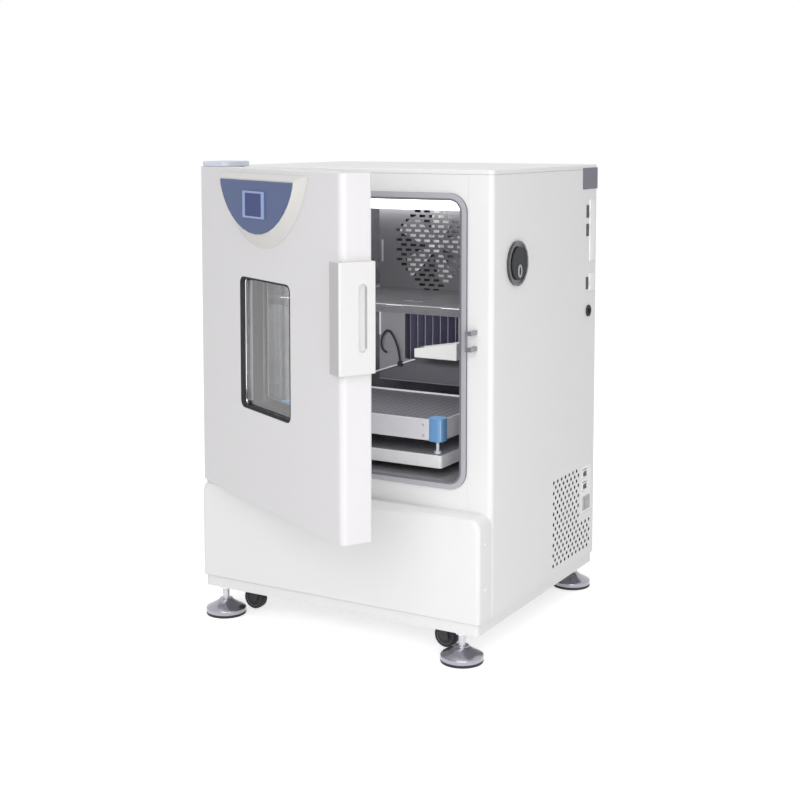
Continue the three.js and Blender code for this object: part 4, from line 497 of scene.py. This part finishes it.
def band_on_faces(name, edge, test, margin, lift, second_finish, outer=None):
    """A softened copy whose chosen faces get a band inside their margin, lifted and in a second finish.

    Front faces that lie further than outer from the chamber's mouth take the second finish too.
    """
    piece = merged_copy(name)
    choose_faces(piece, test)
    bpy.ops.mesh.inset(thickness=margin * millimetre)
    bpy.ops.transform.translate(value=Vector(lift) * millimetre)
    leave_edit()
    chosen = {face.index for face in piece.data.polygons if face.select}
    for face in piece.data.polygons:
        edge_too = outer is not None and face.normal.y < -0.9 and beyond_mouth(face.center, outer)
        face.material_index = int(face.index in chosen or edge_too)
    finish_copy(piece, name, edge, second_finish)


def rise_to(height, old_height, share, centre):
    """Pushes the selected cap up to a new height, and widens it by the share."""
    bpy.ops.mesh.extrude_region_move(
        TRANSFORM_OT_translate={"value": (0, 0, (height - old_height) * millimetre)}
    )
    pivot = (centre.x, centre.y, centre.z + height * millimetre)
    bpy.ops.transform.resize(value=(share, share, 1), center_override=pivot)


axis_turns = {"z": None, "x": ("Y", math.pi / 2), "y": ("X", -math.pi / 2)}


def turned(name, profile, at, finish, body, axis="z", sides=48, edge=0.0, stands_for=()):
    """A turned form: rings of (radius, height) risen one from the other, then laid on its axis."""
    deselect()
    centre = Vector((0, 0, 0))
    radius, height = profile[0]
    bpy.ops.mesh.primitive_circle_add(
        vertices=sides, radius=radius * millimetre, fill_type="NGON", location=(0, 0, height * millimetre)
    )
    piece = bpy.context.object
    edit()
    for new_radius, new_height in profile[1:]:
        rise_to(new_height, height, new_radius / radius, centre)
        radius, height = new_radius, new_height
    bpy.ops.mesh.select_all(action="SELECT")
    bpy.ops.mesh.normals_make_consistent(inside=False)
    leave_edit()
    turn = axis_turns[axis]
    if turn:
        piece.matrix_world = Matrix.Rotation(turn[1], 4, turn[0]) @ piece.matrix_world
    piece.matrix_world = Matrix.Translation(place(*at)) @ piece.matrix_world
    bpy.ops.object.transform_apply(location=True, rotation=True, scale=True)
    return finish_piece(piece, name, finish, body, stands_for, edge)


def box_between(low, high):
    """The plain box between two corners that a block starts from."""
    deselect()
    first, second = place(*low), place(*high)
    bpy.ops.mesh.primitive_cube_add(size=1, location=(first + second) / 2)
    piece = bpy.context.object
    piece.scale = second - first
    bpy.ops.object.transform_apply(location=True, rotation=True, scale=True)
    return piece


def block(name, low, high, finish, body, edge=0.5, segments=3):
    """A moulded or folded block between two corners, with all its edges softened."""
    piece = box_between(low, high)
    edit()
    bpy.ops.mesh.bevel(offset=edge * millimetre, segments=segments, affect="EDGES")
    leave_edit()
    return finish_piece(piece, name, finish, body)


def two_tone(name, edge, test, second_finish):
    """A softened copy whose chosen faces get a second finish."""
    piece = merged_copy(name)
    for face in piece.data.polygons:
        face.material_index = int(test(face))
    finish_copy(piece, name, edge, second_finish)


def rounded_block(name, low, high, corner, axis, finish, body, edge=0.5, stands_for=()):
    """A block whose edges along one axis are rounded to a corner radius, with all its rims softened."""
    piece = box_between(low, high)
    along = "xyz".index(axis)
    edit(selected=False)
    bpy.ops.mesh.select_mode(type="EDGE")
    leave_edit()
    points = piece.data.vertices
    for side in piece.data.edges:
        start, end = (points[index].co for index in side.vertices)
        side.select = abs((end - start)[along]) > 0.9 * (end - start).length
    bpy.ops.object.mode_set(mode="EDIT")
    bpy.ops.mesh.bevel(offset=corner * millimetre, segments=corner_steps, affect="EDGES")
    leave_edit()
    return finish_piece(piece, name, finish, body, stands_for, edge)


def repeat(piece, name, move):
    """A copy of a finished piece with a mesh of its own, moved along and tied to the same body."""
    deselect()
    piece.select_set(True)
    bpy.context.view_layer.objects.active = piece
    bpy.ops.object.duplicate()
    copy = bpy.context.object
    copy.name = name
    copy.location = Vector(move) * millimetre
    bpy.ops.object.transform_apply(location=True, rotation=True, scale=True)
    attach(copy, body_of_piece[piece.name])
    return copy


# Sheet metal and mouldings with softened edges
soft_edges = {
    "door_shell": 2.2,
    "top_cover": 0.8,
    "lower_front_panel": 1.0,
    "base_frame": 0.8,
    "left_side_panel": 0.6,
    "front_frame": 0.4,
    "window_frame": 0.7,
    "top_hinge": 0.8,
    "control_bezel": 1.2,
    "control_face": 0.5,
    "display": 0.5,
    "door_strike": 0.7,
    "switch_plate": 0.8,
    "tray_frame": 0.7,
    "shelf": 0.3,
    "drip_tray": 0.6,
    "chamber_lamp": 1.2,
    "port_sleeve": 1.8,
}
for node_name, edge in soft_edges.items():
    soften(node_name, edge)
for corner in corners:
    soften("caster_fork_" + corner, 0.6)
# The carriage plate's top faces are painted darker, as painted shade under the tray.
two_tone("carriage_plate", 0, lambda face: face.normal.z > 0.9, "carriage_top_painted_shade")
# The gasket's front band and outer margin take the lighter copy as painted light; its other faces keep the darker
# grey, painted shade on the inner walls.
band_on_faces("door_gasket", 0.6, lambda face: face.normal.y < -0.9, 4.2, (0, -0.2, 0), "gasket_painted_light", 9)

# The vent's field in the right side
vent_front, vent_back = 272, 460
vent_low, vent_high = 94, 268
door_front = door_swing.to_3x3() @ Vector((0, -1, 0))


def in_vent(face):
    """Whether a face is the wall of one of the vent's holes."""
    spot = (face.center - shift) / millimetre
    across = abs(face.normal.x) < 0.5
    return across and vent_front < spot.y < vent_back and vent_low < spot.z < vent_high


# The walls of the vent's holes are painted black, as painted shade.
two_tone("right_side_panel", 0, in_vent, "black_plastic_and_painted_shade")
# The handle's front faces take the darker copy as painted shade.
two_tone("door_handle", 1.6, lambda face: face.normal.dot(door_front) > 0.98, "painted_shade_and_inlet_grey")
for switch in ("power_switch", "breaker_switch"):
    band_on_faces(switch, 0.4, lambda face: face.normal.x > 0.8, 3.2, (0, 0, 0), "black_plastic_and_painted_shade")


# Tray: a plain deck painted with dark dots as the shade of its holes, between four blue posts, and screws beside
# the posts
tray_body = body_of_node["tray_frame"]
deck_low, deck_high = (Vector(corner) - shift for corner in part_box("tray_deck"))
deck_low, deck_high = deck_low / millimetre, deck_high / millimetre
rounded_block("deck_sheet", deck_low, deck_high, 2, "z", "deck_grey", tray_body, 0.4, ("tray_deck",))
post_x = 166.5
post_ys = (54.5, 275.5)
post_half = 15.4
post_low, post_high = 375.2, 419.2
first_post = rounded_block(
    "post_sleeve_front_left",
    (-post_x - post_half, post_ys[0] - post_half, post_low),
    (-post_x + post_half, post_ys[0] + post_half, post_high),
    10.8, "z", "tray_blue", tray_body, 1.6,
)
post_depth = post_ys[1] - post_ys[0]
repeat(first_post, "post_sleeve_front_right", (2 * post_x, 0, 0))
repeat(first_post, "post_sleeve_rear_left", (0, post_depth, 0))
repeat(first_post, "post_sleeve_rear_right", (2 * post_x, post_depth, 0))
screw_profile = [(3.2, 0.2), (3.2, -0.6), (2.7, -1.2), (1.4, -1.3), (1.2, -0.7)]
rail_front = 42
rail_screw_x = 142.5
rail_screw_drop = -21
rail_screw = turned(
    "rail_screw", screw_profile, (rail_screw_x, rail_front, 406), "zinc_plate", tray_body, "y", 16
)
repeat(rail_screw, "rail_screw_low", (0, 0, rail_screw_drop))
repeat(rail_screw, "rail_screw_left", (-2 * rail_screw_x, 0, 0))
repeat(rail_screw, "rail_screw_left_low", (-2 * rail_screw_x, 0, rail_screw_drop))


# Door: the screen in its light frame
door_middle = -21.5
screen_half = 39.6
rounded_block(
    "screen", (door_middle - screen_half, -83.3, 798.4), (door_middle + screen_half, -82.6, 841.8),
    2, "y", "screen_film", "door", 0.2,
)


# Chamber: the duct's folded edges, dark plates on the duct's front under the coil as painted shade, and the drip
# tray's drain tube
block("duct_edge_high", (-119.5, 333.4, 676), (-115.5, 335.2, 722), "pale_steel", "cabinet", 0.4)
block("duct_edge_low", (-125, 333.4, 520), (-121, 335.2, 577), "pale_steel", "cabinet", 0.4)
# Dark plates on the duct's lower front: painted shade below the coil.
block("shade_plate_right", (-36, 334, 427), (124, 335.2, 482), "shade_plate_grey", "cabinet", 0.3)
shade_left = block(
    "shade_plate_left", (-124.5, 334, 427), (-36.2, 335.2, 474), "shade_plate_grey", "cabinet", 0.3
)
# The left plate's top slopes down to its outer end
slope_from = place(-80, 0, 450)
slope_drop = 31
deselect()
bpy.context.view_layer.objects.active = shade_left
shade_left.select_set(True)
edit(selected=False)
bpy.ops.mesh.select_mode(type="VERT")
leave_edit()
for point in shade_left.data.vertices:
    point.select = point.co.z > slope_from.z and point.co.x < slope_from.x
bpy.ops.object.mode_set(mode="EDIT")
bpy.ops.transform.translate(value=(0, 0, -slope_drop * millimetre))
leave_edit()
drain_half = 60
drain_radius = 1.7
drain_at = (-93, 331.5, 454)
drain_middle = place(*drain_at)
drain_tilt = math.radians(-19.3)
drain_profile = [(drain_radius, -drain_half), (drain_radius, drain_half)]
drain = turned("drain_tube", drain_profile, drain_at, "pale_steel", "cabinet", "x", 16)
drain_turn = Matrix.Rotation(drain_tilt, 4, "Y")
drain.matrix_world = Matrix.Translation(drain_middle) @ drain_turn @ Matrix.Translation(-drain_middle)
bpy.ops.object.transform_apply(location=True, rotation=True, scale=True)


# Window: the bright bars that keep the two panes apart, at both ends of the frame
block("window_spacer", (-113.3, -50, 450), (-112.2, -39, 679), "door_lining", "door", 0.2)
block("window_spacer_right", (77.2, -50, 450), (78.3, -39, 679), "door_lining", "door", 0.2)


# Right side: a bare plate, the connectors' shells and inserts, black sheets behind the vent as painted shade,
# the port's plug with its pull loop, the inlet's shroud and two panel screws
side = 305
block("side_plate", (side - 0.4, 407, 833), (side + 0.9, 483, 876), "plate_grey", "cabinet", 0.3)
block("upper_shell", (side - 1.4, 446, 687), (side + 1.2, 470, 812), "bright_plastic", "cabinet", 0.8)
block("lower_shell", (side - 1.4, 446, 626), (side + 1.2, 467, 662), "bright_plastic", "cabinet", 0.8)
# Black sheets behind the vent's holes, painted shade seen through them.
shade_sheet_inner, shade_sheet_outer = side - 4.6, side - 3.2
block(
    "vent_shade_sheet", (shade_sheet_inner, vent_front, vent_low), (shade_sheet_outer, 406, vent_high),
    "black_plastic_and_painted_shade", "cabinet", 0.2,
)
block(
    "vent_shade_sheet_rear", (shade_sheet_inner, 406.5, vent_low), (shade_sheet_outer, vent_back, 158),
    "black_plastic_and_painted_shade", "cabinet", 0.2,
)
plug_at = (side, 97, 710)
plug_profile = [
    (24.6, -41), (24.6, 5), (30.6, 5.1), (31, 5.6), (31, 6.6), (30, 7.6), (27, 8), (25, 7.4), (9, 7.6),
]
plug_body = body_of_node["port_plug"]
turned(
    "plug_look", plug_profile, plug_at, "black_rubber", plug_body, "x", 64, stands_for=("port_plug",)
)
loop_at = place(side + 8, 96, 696)
deselect()
bpy.ops.mesh.primitive_torus_add(
    major_radius=8 * millimetre, minor_radius=1.8 * millimetre, major_segments=36, minor_segments=12,
    location=loop_at, rotation=(0, math.pi / 2, 0),
)
loop = bpy.context.object
bpy.ops.object.transform_apply(location=True, rotation=True, scale=True)
edit()
bpy.ops.transform.resize(value=(1, 0.8, 1.25), center_override=loop_at)
leave_edit()
finish_piece(loop, "plug_loop", "grey_plastic", plug_body)
port_insert = block(
    "port_insert", (side - 2, 427, 776), (side + 0.3, 441, 801), "black_plastic_and_painted_shade", "cabinet", 0.6
)
repeat(port_insert, "port_insert_middle", (0, 0, -38))
repeat(port_insert, "port_insert_low", (0, 0, -146))
inlet = block(
    "inlet_shroud", (side - 13, 421.5, 174.5), (side + 1.6, 458.5, 203.5), "painted_shade_and_inlet_grey", "cabinet", 1.2
)
choose_faces(inlet, lambda face: face.normal.x > 0.98)
bpy.ops.mesh.inset(thickness=3 * millimetre)
bpy.ops.mesh.extrude_region_move(TRANSFORM_OT_translate={"value": (-1.2 * millimetre, 0, 0)})
leave_edit()
panel_side = (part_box("lower_front_panel")[1].x - shift.x) / millimetre
side_screw_profile = [(3.4, -0.3), (3.4, 0.5), (2.8, 1.0), (1.4, 1.1), (1.2, 0.5)]
panel_screw = turned(
    "panel_screw", side_screw_profile, (panel_side, -25, 220), "zinc_plate", "cabinet", "x", 20
)
repeat(panel_screw, "panel_screw_low", (0, 0, -83))


# Back: four pan-head screws down each edge of the panel
back = (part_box("rear_panel")[1].y - shift.y) / millimetre
rear_screw_x = 280
rear_screw_rise = 240
rear_screw_profile = [(3.6, -0.3), (3.6, 0.6), (3.0, 1.5), (1.6, 1.9), (1.3, 1.1)]
rear_screw = turned(
    "rear_screw", rear_screw_profile, (rear_screw_x, back, 122), "zinc_plate", "cabinet", "y", 20
)
for row in range(1, 4):
    repeat(rear_screw, f"rear_screw_{row}", (0, 0, rear_screw_rise * row))
for row in range(4):
    repeat(rear_screw, f"rear_screw_left_{row}", (-2 * rear_screw_x, 0, rear_screw_rise * row))


# Levelling feet: a domed pad on a rubber sole, a bright stud and its lock nut
foot_profile = [
    (38.6, 5), (39.5, 6.2), (39.5, 12.2), (39.0, 13.6), (37.6, 14.8), (31, 18.2), (24, 21.6), (18, 25),
    (15.5, 27.4), (13.6, 28.6), (12.6, 30.4),
]
sole_profile = [(36.5, 0), (38.6, 0.8), (39.2, 2.4), (39.2, 5.2), (38.4, 5.9)]
stud_radius = 6.6
nut_radius = 11
stud_low = 29.0
thread_pitch = 1.75
thread_depth = 0.9
boss_low = 57.5
stud_in_boss = 12
nut_height = 8


def dress_foot(corner):
    node = "levelling_foot_" + corner
    low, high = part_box(node)
    centre = (low + high) / 2 - shift
    x, y = centre.x / millimetre, centre.y / millimetre
    body = body_of_node[node]
    turned("foot_pad_" + corner, foot_profile, (x, y, 0), "foot_metal", body, sides=64, stands_for=(node,))
    turned("foot_sole_" + corner, sole_profile, (x, y, 0), "black_rubber", body, sides=64)
    thread = [(stud_radius, stud_low)]
    height = stud_low
    while height + thread_pitch < boss_low + stud_in_boss:
        root = (stud_radius - thread_depth, height + 0.9)
        thread += [(stud_radius, height + 0.4), root, (stud_radius, height + 1.5)]
        height += thread_pitch
    turned("foot_stud_" + corner, thread, (x, y, 0), "zinc_plate", body, sides=24)
    nut = [(nut_radius - 1.2, boss_low - nut_height), (nut_radius, boss_low - nut_height + 0.7),
           (nut_radius, boss_low - 0.7), (nut_radius - 1.2, boss_low)]
    turned("foot_nut_" + corner, nut, (x, y, 0), "zinc_plate", body, sides=6, edge=0.4)


def dress_wheel(corner):
    node = "caster_wheel_" + corner
    low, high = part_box(node)
    centre = ((low + high) / 2 - shift) / millimetre
    half = (high.y - low.y) / 2 / millimetre
    radius = (high.z - low.z) / 2 / millimetre
    body = body_of_node[node]
    at = (centre.x, centre.y, centre.z)
    tread = [(radius * 0.72, -half), (radius * 0.93, -half + 0.5), (radius * 0.985, -half + 2.5),
             (radius, 0), (radius * 0.985, half - 2.5), (radius * 0.93, half - 0.5), (radius * 0.72, half)]
    turned("wheel_tread_" + corner, tread, at, "black_rubber", body, axis="y", stands_for=(node,))
    hub = [(radius * 0.3, -half - 0.6), (radius * 0.36, -half + 1), (radius * 0.64, -half + 1.2),
           (radius * 0.7, -half - 0.4), (radius * 0.7, half + 0.4), (radius * 0.64, half - 1.2),
           (radius * 0.36, half - 1), (radius * 0.3, half + 0.6)]
    turned("wheel_hub_" + corner, hub, at, "grey_plastic", body, axis="y", edge=0.3)


for corner in corners:
    dress_foot(corner)
    dress_wheel(corner)


# Floor, lights and sky
floor_half = 12


def make_floor():
    bpy.ops.mesh.primitive_plane_add(size=2 * floor_half, location=(0, 0, 0))
    floor = bpy.context.object
    floor.name = "floor"
    material, tree, shader = new_material("floor_white")
    shader.inputs["Base Color"].default_value = (0.86, 0.86, 0.86, 1)
    shader.inputs["Roughness"].default_value = 0.9
    shader.inputs["Specular IOR Level"].default_value = 0.1
    shader.inputs["Emission Color"].default_value = (1, 1, 1, 1)
    glow = math_node(tree, "MULTIPLY", seen_directly(tree), floor_glow)
    tree.links.new(glow, shader.inputs["Emission Strength"])
    floor.data.materials.append(material)


def make_sky():
    world = bpy.data.worlds.new("sky")
    world.use_nodes = True
    tree = world.node_tree
    strength = math_node(tree, "MULTIPLY_ADD", seen_directly(tree), seen_sky - lighting_sky)
    strength.node.inputs[2].default_value = lighting_sky
    tree.links.new(strength, tree.nodes["Background"].inputs["Strength"])
    tree.nodes["Background"].inputs["Color"].default_value = (1, 1, 1, 1)
    bpy.context.scene.world = world


def add_light(name, location, target, width, height, power):
    data = bpy.data.lights.new(name, "AREA")
    data.shape = "RECTANGLE"
    data.size = width
    data.size_y = height
    data.energy = power
    light = bpy.data.objects.new(name, data)
    bpy.context.collection.objects.link(light)
    light.location = location
    light.rotation_euler = (Vector(target) - Vector(location)).to_track_quat("-Z", "Y").to_euler()


make_floor()
make_sky()
middle = (0, 0, 0.45)
add_light("key", (1.2, -3.6, 2.0), middle, 2.2, 2.2, 53)
add_light("side", (1.1, -1.1, 0.6), (0.3, -0.1, 0.5), 0.5, 1.2, 4.4)
add_light("top", (0.2, -0.4, 3.4), middle, 2.6, 2.6, 18)
add_light("under_shelf", place(0, 60, 604), place(0, 250, 380), 0.4, 0.06, 0.7)
add_light("on_fan", place(0, 336.3, 713), place(0, 400, 713), 0.17, 0.17, 0.1)

bpy.context.scene.view_settings.view_transform = "Standard"
